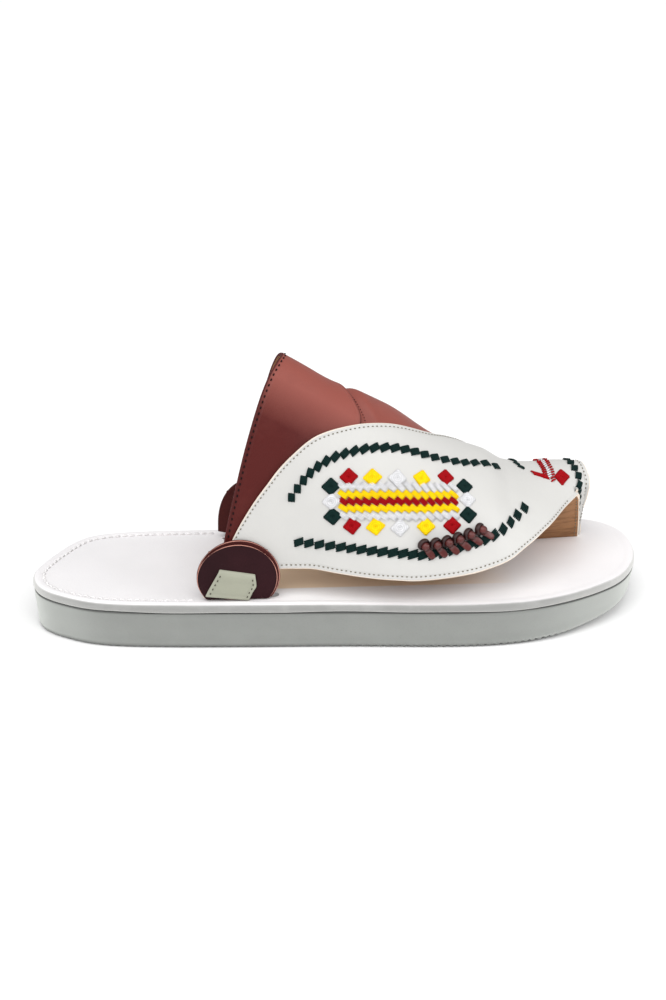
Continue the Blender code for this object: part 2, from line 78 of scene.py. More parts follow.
def linear(red, green, blue):
    """A colour given as screen values from 0 to 255, in the renderer's linear values."""
    share = np.array([red, green, blue]) / 255
    return tuple(np.where(share <= 0.04045, share / 12.92, ((share + 0.055) / 1.055) ** 2.4).tolist())


# ------------------------------------------------------------------ tables of sections
# Sole outline: along as a share of the length, then the outer and inner edge as shares of the
# ball width.
SOLE_OUTLINE = [
    (0.000, -0.090, -0.090), (0.015, -0.240, 0.060), (0.057, -0.345, 0.275), (0.108, -0.415, 0.375),
    (0.201, -0.455, 0.400), (0.355, -0.480, 0.400), (0.509, -0.500, 0.425), (0.647, -0.528, 0.460),
    (0.767, -0.523, 0.480), (0.856, -0.455, 0.475), (0.921, -0.345, 0.445), (0.966, -0.220, 0.380),
    (0.993, -0.050, 0.260), (1.000, 0.110, 0.110),
]
# Moulded sole from the middle of its underside to its top: inset and height, millimetres.
SOLE_PROFILE = [(12.0, 0.0), (3.2, 0.0), (2.2, 0.4), (1.7, 1.6), (1.4, 6.0), (1.0, 10.0), (0.6, 14.5),
                (0.4, 17.2), (0.6, 17.9), (1.4, 18.2), (12.0, 18.2)]
# Wrapped footbed from its underside over the rolled rim to the bed inside the stitch line.
FOOTBED_PROFILE = [(12.0, 18.5), (1.4, 18.5), (0.5, 18.7), (0.1, 19.2), (0.0, 20.2), (0.1, 21.3),
                   (0.5, 22.2), (1.2, 22.8), (2.4, 23.1), (3.6, 23.0), (4.6, 22.65), (5.2, 22.5),
                   (5.8, 22.5), (6.8, 22.5), (9.0, 22.45), (12.0, 22.4)]
# Arch over the foot: along mm, height of its crest as a share of the instep height, then the
# places across of its crest, outer foot and inner foot as shares of the ball width.
ARCH_SECTIONS = [
    (-70.0, 1.270, 0.020, -0.350, 0.290), (-45.0, 1.125, 0.020, -0.350, 0.290),
    (-25.0, 1.000, 0.020, -0.350, 0.290), (3.0, 0.832, 0.030, -0.420, 0.340),
    (25.0, 0.735, 0.040, -0.480, 0.380), (47.0, 0.583, 0.050, -0.500, 0.410),
    (60.0, 0.512, 0.065, -0.500, 0.410), (71.0, 0.466, 0.090, -0.490, 0.400),
    (82.0, 0.395, 0.130, -0.470, 0.385), (97.0, 0.358, 0.190, -0.380, 0.380),
    (110.0, 0.350, 0.230, -0.190, 0.380), (122.0, 0.338, 0.240, 0.030, 0.380),
]
# How round the arch is, across and upwards: 2 is an ellipse.
ARCH_ACROSS_POWER = 2.0
ARCH_HEIGHT_POWER = 1.35
# How far straight down a sheet goes for one whole share beyond the arch's feet.
ROOT_REACH = 100 * MM
# White vamp: along mm, then the shares of its lower edge, its fold and its upper edge.
VAMP_EDGES = [
    (-62.0, -0.035, -0.010, 0.015), (-56.0, -0.035, 0.000, 0.055), (-48.0, -0.035, 0.040, 0.121),
    (-40.0, -0.035, 0.065, 0.167), (-36.0, -0.030, 0.090, 0.187), (-32.0, 0.073, 0.125, 0.206),
    (-27.0, 0.079, 0.150, 0.231), (-20.0, 0.082, 0.170, 0.262), (-8.0, 0.088, 0.200, 0.315),
    (8.0, 0.087, 0.220, 0.366), (31.0, 0.091, 0.260, 0.420), (47.0, 0.106, 0.290, 0.479),
    (60.0, 0.124, 0.310, 0.557), (72.0, 0.148, 0.320, 0.675), (80.0, 0.176, 0.325, 0.830),
    (86.0, 0.204, 0.330, 0.960),
    (90.0, 0.220, 0.332, 1.035), (104.0, 0.273, 0.335, 1.035), (112.0, 0.302, 0.338, 1.035),
    (116.5, 0.319, 0.342, 1.035),
]
# How far, in millimetres, the front hem stands forward, by the share of the way over the vamp.
HEM_FORWARD = [(0.0, 0.0), (0.22, 0.0), (0.30, -1.2), (0.34, -1.3), (0.45, 3.2), (0.50, 4.2), (0.547, 5.3),
               (0.567, 6.5), (0.588, 8.0), (0.63, 8.6), (0.682, 8.7), (0.72, 7.4), (0.76, 5.6), (0.80, 3.2),
               (0.92, 3.5), (1.0, 3.0)]
# Rear strap: share of the way over, then its rear and front edge along, mm.
INSTEP_STRAP_EDGES = [
    (-0.035, -58.4, -33.5), (0.000, -57.4, -32.5), (0.119, -51.4, -23.0), (0.209, -44.4, -8.0),
    (0.306, -36.2, 7.0), (0.396, -29.0, 11.5), (0.441, -25.8, 8.5), (0.500, -23.4, 3.5),
    (0.550, -24.7, -0.5), (0.700, -31.5, -5.0), (0.850, -41.5, -12.0), (1.000, -51.0, -20.0),
    (1.035, -51.5, -20.5),
]
# Front strap: along mm, then the shares at which it starts under the vamp and ends.
FRONT_STRAP_EDGES = [
    (-31.0, 0.965, 1.035), (-26.0, 0.880, 1.035), (-21.0, 0.800, 1.020), (-15.0, 0.680, 0.945),
    (-8.0, 0.540, 0.925), (-2.0, 0.460, 0.920), (5.0, 0.340, 0.920), (20.0, 0.350, 0.920),
    (35.0, 0.385, 0.915), (47.0, 0.430, 0.910), (60.0, 0.510, 0.905), (72.0, 0.640, 0.900),
    (80.0, 0.780, 0.900), (86.0, 0.880, 0.915),
]
# The vamp's fold: where it starts, is full and ends along, and its foot's place across and height.
FOLD_START = 84 * MM
FOLD_FULL = 100 * MM
FOLD_END = 116.5 * MM
FOLD_FOOT = (24.6 * MM, 19.7 * MM)

# ------------------------------------------------------------------ curves through tables


def column(rows, number, size=1.0):
    """One column of a table, times a size."""
    return np.array([row[number] for row in rows]) * size


def steady_curve(places, values, at):
    """Cubic through (places, values) that never overshoots, read at the places in at: between two
    places its slopes are the harmonic means of the neighbouring chords' slopes."""
    step = np.diff(places)
    slope = np.diff(values) / step
    product = slope[:-1] * slope[1:]
    total = slope[:-1] + slope[1:]
    inner = np.where(product > 0, 2 * product / np.where(total == 0, 1, total), 0)
    tangent = np.concatenate([slope[:1], inner, slope[-1:]])
    at = np.clip(at, places[0], places[-1])
    span = np.clip(np.searchsorted(places, at) - 1, 0, len(places) - 2)
    width = step[span]
    t = (at - places[span]) / width
    start = values[span] * (1 + 2 * t) * (1 - t) ** 2 + tangent[span] * width * t * (1 - t) ** 2
    end = values[span + 1] * t * t * (3 - 2 * t) + tangent[span + 1] * width * t * t * (t - 1)
    return start + end


def smooth_loop(points, steps):
    """Closed curve with even curvature through points, with steps places in each gap: the cubic
    spline (1-t) p + t q + ((1-t)^3 - (1-t))/6 b + (t^3 - t)/6 c, b and c its bends at p and q."""
    points = np.array(points, float)
    count = len(points)
    ring = np.arange(count)
    system = np.zeros((count, count))
    system[ring, ring] = 4
    system[ring, ring - 1] = 1
    system[ring, (ring + 1) % count] = 1
    after = np.roll(points, -1, axis=0)
    bend = np.linalg.solve(system, 6 * (after - 2 * points + np.roll(points, 1, axis=0)))
    t = (np.arange(steps) / steps)[None, :, None]
    low = (1 - t) * points[:, None] + ((1 - t) ** 3 - (1 - t)) / 6 * bend[:, None]
    high = t * after[:, None] + (t ** 3 - t) / 6 * np.roll(bend, -1, axis=0)[:, None]
    return (low + high).reshape(-1, 2)


def ease(share):
    """0 below share 0, 1 above share 1, and the soft step s s (3 - 2 s) between."""
    share = np.clip(share, 0, 1)
    return share * share * (3 - 2 * share)


def unit(vectors):
    """Vectors made one metre long."""
    return vectors / np.maximum(np.linalg.norm(vectors, axis=-1, keepdims=True), 1e-12)


def arc_places(points):
    """Distance walked along axis 0 of an array of points."""
    steps = np.linalg.norm(np.diff(points, axis=0), axis=-1)
    return np.concatenate([np.zeros((1,) + steps.shape[1:]), np.cumsum(steps, axis=0)])


# ------------------------------------------------------------------ the arch over the foot


def arch_base(along, share):
    """Points of the arch: across = middle + width sign(c) |c|^(2/2) with c = -cos(pi s), and
    height = bed + crest sin(pi s)^(2/1.35); beyond s = 0 and 1 the sheet goes straight down."""
    along, share = np.broadcast_arrays(np.asarray(along, float), np.asarray(share, float))
    places = column(ARCH_SECTIONS, 0, MM)
    crest = steady_curve(places, column(ARCH_SECTIONS, 1, INSTEP_HEIGHT), along)
    middle, outer, inner = (
        steady_curve(places, column(ARCH_SECTIONS, number, BALL_WIDTH), along) for number in (2, 3, 4))
    over = np.clip(share, 0, 1)
    turn = -np.cos(math.pi * over)
    width = np.where(turn < 0, middle - outer, inner - middle)
    across = middle + width * np.sign(turn) * np.abs(turn) ** (2 / ARCH_ACROSS_POWER)
    height = crest * np.abs(np.sin(math.pi * over)) ** (2 / ARCH_HEIGHT_POWER)
    root = np.abs(share - over) * ROOT_REACH
    return np.stack([along, across, BED_HEIGHT + height - root], axis=-1)


def arch_slopes(along, share):
    """How the arch moves for one metre along, and for one whole share over."""
    step_along, step_share = 0.5 * MM, 0.002
    share = np.clip(share, 2 * step_share, 1 - 2 * step_share)
    ahead = arch_base(along + step_along, share) - arch_base(along - step_along, share)
    over = arch_base(along, share + step_share) - arch_base(along, share - step_share)
    return ahead / (2 * step_along), over / (2 * step_share)


def arch_normal(along, share):
    """Unit vectors square to the arch, off the foot: ahead x over."""
    return unit(np.cross(*arch_slopes(along, share)))


def arch_layer(along, share, off):
    """Points at the distance off from the arch's surface."""
    return arch_base(along, share) + arch_normal(along, share) * np.asarray(off, float)[..., None]


def arch_walk(along, share, heading, x, y):
    """Places x ahead and y to the side of places on the arch, measured on the leather: the steps
    (da, ds) that solve Pa da + Ps ds = x U + y V, with U the unit heading and V = normal x U."""
    ahead, over = arch_slopes(along, share)
    normal = unit(np.cross(ahead, over))
    u = unit(ahead * heading[0][..., None] + over * heading[1][..., None])
    v = np.cross(normal, u)
    target = u * x[..., None] + v * y[..., None]
    aa, ss, cross = (np.sum(p * q, axis=-1) for p, q in ((ahead, ahead), (over, over), (ahead, over)))
    to_a, to_s = np.sum(target * ahead, axis=-1), np.sum(target * over, axis=-1)
    area = aa * ss - cross ** 2
    return along + (to_a * ss - to_s * cross) / area, share + (to_s * aa - to_a * cross) / area


def share_at_height(along, height):
    """The share on the arch's outer side that lies at a height over the bed."""
    crest = steady_curve(column(ARCH_SECTIONS, 0, MM), column(ARCH_SECTIONS, 1, INSTEP_HEIGHT), along)
    return np.arcsin((height / crest) ** (ARCH_HEIGHT_POWER / 2)) / math.pi


# ------------------------------------------------------------------ parts of a mesh


def grid_quads(index):
    """Four corners of every cell of a grid of point numbers; they face rows x columns."""
    return np.stack([index[:-1, :-1], index[1:, :-1], index[1:, 1:], index[:-1, 1:]], axis=-1).reshape(-1, 4)


def wall_quads(index):
    """Four corners of every cell between closed rings of point numbers, one ring to a row."""
    beside = np.roll(index, -1, axis=1)
    return np.stack([index[:-1], beside[:-1], beside[1:], index[1:]], axis=-1).reshape(-1, 4)


def part(points, faces, edge=None):
    """A piece of a mesh.  faces holds (corner numbers, corner uv, finish number) for each kind."""
    points = points.reshape(-1, 3)
    return {"points": points, "faces": faces, "edge": np.full(len(points), 1.0) if edge is None else edge}


def sheet_normals(middle):
    """Unit normals of a grid: the slope of its rows x the slope of its columns."""
    return unit(np.cross(np.gradient(middle, axis=0), np.gradient(middle, axis=1)))


# Rings of points round a sheet's cut edge, and how round it is: 1 is a half circle.
EDGE_STEPS = 4
EDGE_BULGE = 0.7


def leather_shell(grain, flesh, raw_bands=None):
    """A closed sheet between its grain side and its flesh side.  Its cut edge is half round:
    m + (g - f)/2 cos t + out bulge |g - f|/2 sin t, with m = (g + f)/2 and t from 0 to pi.
    raw_bands is how many of the edge's bands keep the cut edge's finish; the rest are dyed."""
    rows, columns = grain.shape[:2]
    index = np.arange(rows * columns).reshape(rows, columns)
    quads = grid_quads(index)
    middle = 0.5 * (grain + flesh)
    out = np.zeros_like(middle)
    out[0] += unit(middle[0] - middle[1])
    out[-1] += unit(middle[-1] - middle[-2])
    out[:, 0] += unit(middle[:, 0] - middle[:, 1])
    out[:, -1] += unit(middle[:, -1] - middle[:, -2])
    border = np.concatenate([index[0, :-1], index[:-1, -1], index[-1, :0:-1], index[:0:-1, 0]])
    g, f, m, o = (a.reshape(-1, 3)[border] for a in (grain, flesh, middle, out))
    half = 0.5 * np.linalg.norm(g - f, axis=1)[None, :, None]
    turn = np.linspace(0, math.pi, EDGE_STEPS + 2)[1:-1, None, None]
    ring = m + 0.5 * (g - f) * np.cos(turn) + unit(o) * EDGE_BULGE * half * np.sin(turn)
    first = 2 * rows * columns
    ring_index = first + np.arange(EDGE_STEPS * len(border)).reshape(EDGE_STEPS, -1)
    rim = wall_quads(np.concatenate([border[None], ring_index, border[None] + rows * columns]))
    down, over = arc_places(middle), arc_places(middle.swapaxes(0, 1)).swapaxes(0, 1)
    edge = np.minimum.reduce([down, down[-1:] - down, over, over[:, -1:] - over]).ravel()
    uv = np.stack([down, over], axis=-1).reshape(-1, 2)
    around = arc_places(m)
    uv_ring = np.stack(np.broadcast_arrays(around[None], np.arange(EDGE_STEPS)[:, None] * 0.3 * MM),
                       axis=-1)
    uv = np.concatenate([uv, uv, uv_ring.reshape(-1, 2)])
    points = np.concatenate([grain.reshape(-1, 3), flesh.reshape(-1, 3), ring.reshape(-1, 3)])
    back = quads[:, ::-1] + rows * columns
    edge = np.concatenate([edge, edge, np.zeros(ring_index.size)])
    raw = len(rim) if raw_bands is None else raw_bands * len(border)
    return part(points, [(quads, uv[quads], 0), (back, uv[back], 1), (rim[:raw], uv[rim[:raw]], 2),
                         (rim[raw:], uv[rim[raw:]], 1)], edge)


def grain_side(middle, wall):
    """The outer side of a sheet with half its wall to each side of a grid."""
    return middle + sheet_normals(middle) * 0.5 * wall


def shell_of(middle, wall, raw_bands=None):
    """A closed sheet with half its wall to each side of a grid."""
    return leather_shell(grain_side(middle, wall), grain_side(middle, -wall), raw_bands)


def carried(path, across, lift, half_width, half_height, sides=6, square=2.0, finish=0):
    """Closed bodies from a rounded outline carried along paths, each an array (bodies, places, ..):
    ring = path + across w sgn(cos a)|cos a|^(2/n) + lift h sgn(sin a)|sin a|^(2/n)."""
    bodies, places = path.shape[:2]
    angle = np.linspace(0, 2 * math.pi, sides, endpoint=False)
    wide = np.sign(np.cos(angle)) * np.abs(np.cos(angle)) ** (2 / square)
    high = np.sign(np.sin(angle)) * np.abs(np.sin(angle)) ** (2 / square)
    half_width = np.broadcast_to(half_width, (bodies, places))[..., None, None]
    half_height = np.broadcast_to(half_height, (bodies, places))[..., None, None]
    rings = (path[:, :, None] + across[:, :, None] * half_width * wide[:, None]
             + lift[:, :, None] * half_height * high[:, None])
    index = np.arange(places * sides).reshape(places, sides)
    bands = wall_quads(index)
    length = arc_places(path.swapaxes(0, 1)).T
    place = np.repeat(np.arange(places - 1), sides)
    turn = np.tile(np.arange(sides), places - 1)
    u = length[:, np.stack([place, place, place + 1, place + 1], axis=1)]
    v = np.broadcast_to(np.stack([turn, turn + 1, turn + 1, turn], axis=1) / sides * MM, u.shape)
    first = (np.arange(bodies) * places * sides)[:, None, None]
    quads = (bands[None] + first).reshape(-1, 4)
    ends = np.stack([index[0][::-1], index[-1]])
    ends = (ends[None] + first).reshape(-1, sides)
    return part(rings, [(quads, np.stack([u, v], axis=-1).reshape(-1, 4, 2), finish),
                        (ends, np.zeros(ends.shape + (2,)), finish)])


# Places along one stitch or one lay of yarn.
THREAD_PLACES = 6


def threads(path, normal, half_width, half_height, finish=0):
    """Lengths of thread along paths (threads, places, 3) that lie on leather with that normal."""
    ahead = unit(np.gradient(path, axis=1))
    across = unit(np.cross(normal, ahead))
    return carried(path, across, np.cross(ahead, across), half_width, half_height, finish=finish)


def make_piece(name, parts, finishes, replaces=(), merge=False):
    """One mesh object from parts, with its finishes, riding on the sandal's only body."""
    starts = np.cumsum([0] + [len(p["points"]) for p in parts])
    faces = [(rows + first, uv, number) for made, first in zip(parts, starts)
             for rows, uv, number in made["faces"]]
    mesh = bpy.data.meshes.new(name)
    points = np.concatenate([p["points"] for p in parts])
    mesh.from_pydata(points.tolist(), [], [corners for rows, _, _ in faces for corners in rows.tolist()])
    layer = mesh.uv_layers.new(name="lay")
    layer.data.foreach_set("uv", np.concatenate([uv.reshape(-1) for _, uv, _ in faces]))
    numbers = np.concatenate([np.full(len(rows), number) for rows, _, number in faces])
    mesh.polygons.foreach_set("material_index", numbers.astype(np.int32))
    edge = mesh.attributes.new("edge", "FLOAT", "POINT")
    edge.data.foreach_set("value", np.concatenate([p["edge"] for p in parts]).astype(np.float32))
    if merge:
        body = bmesh.new()
        body.from_mesh(mesh)
        bmesh.ops.remove_doubles(body, verts=body.verts, dist=0.002 * MM)
        body.to_mesh(mesh)
        body.free()
    for finish in finishes:
        mesh.materials.append(finish)
    mesh.shade_smooth()
    mesh.update()
    piece = bpy.data.objects.new(name, mesh)
    bpy.context.scene.collection.objects.link(piece)
    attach(piece, "root")
    if replaces:
        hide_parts(*replaces)
    return piece


# ------------------------------------------------------------------ finishes

# How far a seam runs inside a border.
SEAM_INSET = 1.5 * MM


def add_node(tree, kind, inputs=None, **settings):
    """A shader node; each input is a value, or another node's socket to link."""
    made = tree.nodes.new(kind)
    for name, value in settings.items():
        setattr(made, name, value)
    for key, value in (inputs or {}).items():
        if isinstance(value, bpy.types.NodeSocket):
            tree.links.new(value, made.inputs[key])
        else:
            made.inputs[key].default_value = value
    return made


def new_finish(name, roughness, specular=0.5):
    """A material with its node tree, shader and Object coordinates."""
    finish = bpy.data.materials.new(name)
    finish.use_nodes = True
    tree = finish.node_tree
    shader = tree.nodes["Principled BSDF"]
    shader.inputs["Roughness"].default_value = roughness
    shader.inputs["Specular IOR Level"].default_value = specular
    place = add_node(tree, "ShaderNodeTexCoord").outputs["Object"]
    return finish, tree, shader, place


def mixed_colour(tree, share, low, high, blend="MIX"):
    """A colour between two others, by a share from 0 to 1."""
    return add_node(tree, "ShaderNodeMix", {0: share, 6: low, 7: high}, data_type="RGBA",
                    blend_type=blend).outputs[2]


def worked(tree, operation, *values, use_clamp=False):
    """A value worked out from others."""
    return add_node(tree, "ShaderNodeMath", dict(enumerate(values)), operation=operation,
                    use_clamp=use_clamp).outputs[0]


def shade(colour, factor):
    """A colour times a factor, with its alpha."""
    return tuple(min(1.0, c * factor) for c in colour) + (1.0,)


def spread(tree, value, low, high, out_low=0.0, out_high=1.0):
    """A socket's value from low..high to another range."""
    return add_node(tree, "ShaderNodeMapRange", {
        "Value": value, "From Min": low, "From Max": high, "To Min": out_low, "To Max": out_high,
    }).outputs["Result"]


def noise(tree, place, size, detail=2.0, rough=0.5):
    """Cloudy noise whose clouds are about size metres across."""
    return add_node(tree, "ShaderNodeTexNoise", {
        "Vector": place, "Scale": 1 / size, "Detail": detail, "Roughness": rough}).outputs["Fac"]


def bump(tree, height, distance, base=None):
    """A bump of a height from 0 to 1 over a distance in metres, on top of another bump."""
    inputs = {"Height": height, "Distance": distance, "Strength": 1.0}
    if base is not None:
        inputs["Normal"] = base
    return add_node(tree, "ShaderNodeBump", inputs).outputs["Normal"]


def leather(name, colour, grain=0.7 * MM, depth=0.05 * MM, roughness=0.5, specular=0.4, blotch=0.08,
            wave=0.0, edge_factor=1.0, low=None, painted_patches=(), groove=0.0, wrinkle_shade=0.0, slant=0.0,
            stretch=(1.0, 1.0, 1.0)):
    """Leather: cells of grain, fine pores, broad blotches, a burnished or pale edge, and a pressed
    groove where the sewing runs.  low = (slope, height, lower height, colour) turns it to another
    colour on the way down, from a height that falls by the slope along the sandal: painted shade,
    on the straps together with burnished leather; the patches list (colour, rear, front, outer,
    inner, softness) for painted light and painted shade inside soft edges; a painted shade darkens
    its wrinkles; slant is how many times as light it is at a grazing angle, painted light above 1
    and painted shade below 1; stretch is of its grain."""
    finish, tree, shader, place = new_finish(name, roughness, specular)
    stretched = add_node(tree, "ShaderNodeMapping", {"Vector": place, "Scale": stretch}).outputs["Vector"]
    cloud = noise(tree, place, 22 * MM, 4.0, 0.6)
    base = mixed_colour(tree, spread(tree, cloud, 0.3, 0.7), shade(colour, 1 - blotch),
                        shade(colour, 1 + blotch))
    axes = add_node(tree, "ShaderNodeSeparateXYZ", {"Vector": place}).outputs
    # Painted shade: darker below a height that falls along the sandal; on the straps mixed with burnished
    # leather, on the footbed's side giving way to the bed's colour on top.
    if low:
        height = worked(tree, "MULTIPLY_ADD", axes["X"], low[0], axes["Z"])
        down = worked(tree, "ADD", spread(tree, cloud, 0.3, 0.7, -0.12, 0.12),
                      spread(tree, height, low[1], low[2]), use_clamp=True)
        base = mixed_colour(tree, down, base, shade(low[3], 1.0))
    # Painted patches: painted light and painted shade inside soft edges.
    for tint, rear, front, outer, inner, soft in painted_patches:
        inside = spread(tree, axes["X"], rear - 5 * MM, rear + 5 * MM)
        for edge in (spread(tree, axes["X"], front + 20 * MM, front - 20 * MM),
                     spread(tree, axes["Y"], outer - soft, outer + soft),
                     spread(tree, axes["Y"], inner + 3 * MM, inner - 3 * MM)):
            inside = worked(tree, "MULTIPLY", inside, edge)
        base = mixed_colour(tree, inside, base, shade(tint, 1.0))
    # Painted shade: darker along the wrinkles.
    if wrinkle_shade:
        wrinkles = noise(tree, stretched, 6 * MM, 3.0, 0.6)
        base = mixed_colour(tree, spread(tree, wrinkles, 0.52, 0.36, 0.0, wrinkle_shade), base, shade(colour, 0.5))
    # Painted light where slant is above 1, painted shade where it is below 1, towards grazing angles.
    if slant:
        grazing = add_node(tree, "ShaderNodeLayerWeight", {"Blend": 0.5}).outputs["Facing"]
        base = mixed_colour(tree, spread(tree, grazing, 0.08, 0.95), base, shade(colour, slant))
    distance = add_node(tree, "ShaderNodeAttribute", attribute_name="edge").outputs["Fac"]
    near = spread(tree, distance, 0.0, 1.3 * MM, 1.0, 0.0)
    base = mixed_colour(tree, near, base, (edge_factor, edge_factor, edge_factor, 1.0), "MULTIPLY")
    tree.links.new(base, shader.inputs["Base Color"])
    cells = add_node(tree, "ShaderNodeTexVoronoi", {"Vector": stretched, "Scale": 1 / grain},
                     feature="SMOOTH_F1").outputs["Distance"]
    pores = noise(tree, stretched, grain * 0.45, 3.0)
    facing = bump(tree, cells, depth)
    facing = bump(tree, pores, depth * 0.6, facing)
    if wave:
        facing = bump(tree, noise(tree, stretched, 14 * MM, 1.0), wave, facing)
    if groove:
        away = worked(tree, "ABSOLUTE", worked(tree, "SUBTRACT", distance, SEAM_INSET))
        facing = bump(tree, spread(tree, away, 0.0, 0.9 * MM), groove, facing)
    tree.links.new(facing, shader.inputs["Normal"])
    tree.links.new(spread(tree, cloud, 0.2, 0.8, roughness - 0.07, roughness + 0.07),
                   shader.inputs["Roughness"])
    return finish


# Length of one turn of the thread's plies.
PLY = 0.9 * MM


def thread_finish(name, colour):
    """Twisted thread with a soft sheen and slanting ply ridges, sin(2 pi (u / ply + 2 v)), where u
    is the distance along the thread and v the share of the way round it, and with painted shade in
    the grooves between the plies."""
    finish, tree, shader, place = new_finish(name, 0.65, 0.1)
    lay = add_node(tree, "ShaderNodeUVMap", uv_map="lay").outputs["UV"]
    axes = add_node(tree, "ShaderNodeSeparateXYZ", {"Vector": lay}).outputs
    phase = worked(tree, "ADD", axes["X"], worked(tree, "MULTIPLY", axes["Y"], PLY / MM * 2))
    ridge = spread(tree, worked(tree, "SINE", worked(tree, "MULTIPLY", phase, 2 * math.pi / PLY)), -1.0, 1.0)
    tone = noise(tree, place, 1.6 * MM, 3.0)
    base = mixed_colour(tree, spread(tree, tone, 0.3, 0.7), shade(colour, 0.86), shade(colour, 1.12))
    # Painted shade in the grooves between the plies.
    base = mixed_colour(tree, spread(tree, ridge, 0.0, 0.35, 1.0, 0.0), base, shade(colour, 0.7))
    tree.links.new(base, shader.inputs["Base Color"])
    facing = bump(tree, ridge, 0.06 * MM)
    facing = bump(tree, noise(tree, place, 0.15 * MM), 0.02 * MM, facing)
    tree.links.new(facing, shader.inputs["Normal"])
    shader.inputs["Sheen Weight"].default_value = 0.02
    shader.inputs["Sheen Roughness"].default_value = 0.4
    return finish


def foam_finish(name, colour):
    """Moulded foam: a fine even skin with pin marks, faint streaks and soft clouds, with painted light
    at grazing angles and painted shade at its foot and under the footbed's wrap.
    """
    finish, tree, shader, place = new_finish(name, 0.72, 0.3)
    cloud = noise(tree, place, 18 * MM, 4.0, 0.6)
    base = mixed_colour(tree, spread(tree, cloud, 0.3, 0.7), shade(colour, 0.95), shade(colour, 1.04))
    speck = noise(tree, place, 0.55 * MM, 2.0)
    base = mixed_colour(tree, spread(tree, speck, 0.56, 0.74, 0.0, 0.5), base, shade(colour, 0.82))
    # Painted light: lighter towards grazing angles.
    slant = add_node(tree, "ShaderNodeLayerWeight", {"Blend": 0.5}).outputs["Facing"]
    base = mixed_colour(tree, spread(tree, slant, 0.08, 0.95), base, shade(colour, 2.8))
    height = add_node(tree, "ShaderNodeSeparateXYZ", {"Vector": place}).outputs["Z"]
    # Painted shade: darker at its foot on the floor and in a thin line under the footbed's wrap.
    base = mixed_colour(tree, spread(tree, height, 2.4 * MM, 0.2 * MM), base, shade(colour, 0.45))
    base = mixed_colour(tree, spread(tree, height, 17.5 * MM, 18.0 * MM), base, shade(colour, 0.55))
    tree.links.new(base, shader.inputs["Base Color"])
    cells = add_node(tree, "ShaderNodeTexVoronoi", {"Vector": place, "Scale": 1250.0}).outputs["Distance"]
    facing = bump(tree, cells, 0.03 * MM)
    facing = bump(tree, noise(tree, place, 0.3 * MM, 3.0), 0.05 * MM, facing)
    facing = bump(tree, noise(tree, place, 9 * MM, 2.0), 0.25 * MM, facing)
    tree.links.new(facing, shader.inputs["Normal"])
    return finish


# ------------------------------------------------------------------ sizes and colours


def length(name, description, default, high):
    """A length property in metres."""
    return bpy.props.FloatProperty(name=name, description=description, default=default, min=0.0,
                                   max=high, precision=5, subtype="DISTANCE", unit="LENGTH")


def colour(name, description, *screen):
    """A colour property, given as screen values from 0 to 255."""
    return bpy.props.FloatVectorProperty(name=name, description=description, size=3, min=0.0, max=1.0,
                                         default=linear(*screen), subtype="COLOR")


class SandalSizes(bpy.types.PropertyGroup):
    """Walls of the leather, and sizes of its thread and tread."""

    strap_wall: length("Strap wall", "Thickness of the vamp and the straps", 1.8 * MM, 5 * MM)
    layer_step: length("Layer step", "How far one strap lies over another", 2.5 * MM, 6 * MM)
    disc_wall: length("Disc wall", "Thickness of the half-moon discs", 1.4 * MM, 4 * MM)
    tab_wall: length("Tab wall", "Thickness of the keeper tabs", 1.2 * MM, 4 * MM)
    clearance: length("Clearance", "Gap between leather that lies on leather", 0.3 * MM, 2 * MM)
    stitch_pitch: length("Stitch pitch", "From one stitch of a seam to the next", 2.15 * MM, 8 * MM)
    stitch_length: length("Stitch length", "Length of one stitch of a seam", 0.9 * MM, 8 * MM)
    thread_width: length("Thread", "Thickness of the sewing thread", 0.52 * MM, 2 * MM)
    rim_pitch: length("Rim pitch", "From one stitch of the footbed's rim to the next", 3.5 * MM, 9 * MM)
    yarn_width: length("Yarn", "Width of one lay of embroidery yarn", 0.95 * MM, 3 * MM)
    yarn_lift: length("Yarn lift", "How far the embroidery stands off the leather", 0.55 * MM, 3 * MM)
    zigzag_pitch: length("Step pitch", "From one block of a stepped line to the next", 4.75 * MM, 12 * MM)
    tread_pitch: length("Tread pitch", "From one rib of the tread to the next", 3.6 * MM, 12 * MM)
    tread_depth: length("Tread depth", "Depth of the tread's grooves", 0.7 * MM, 3 * MM)


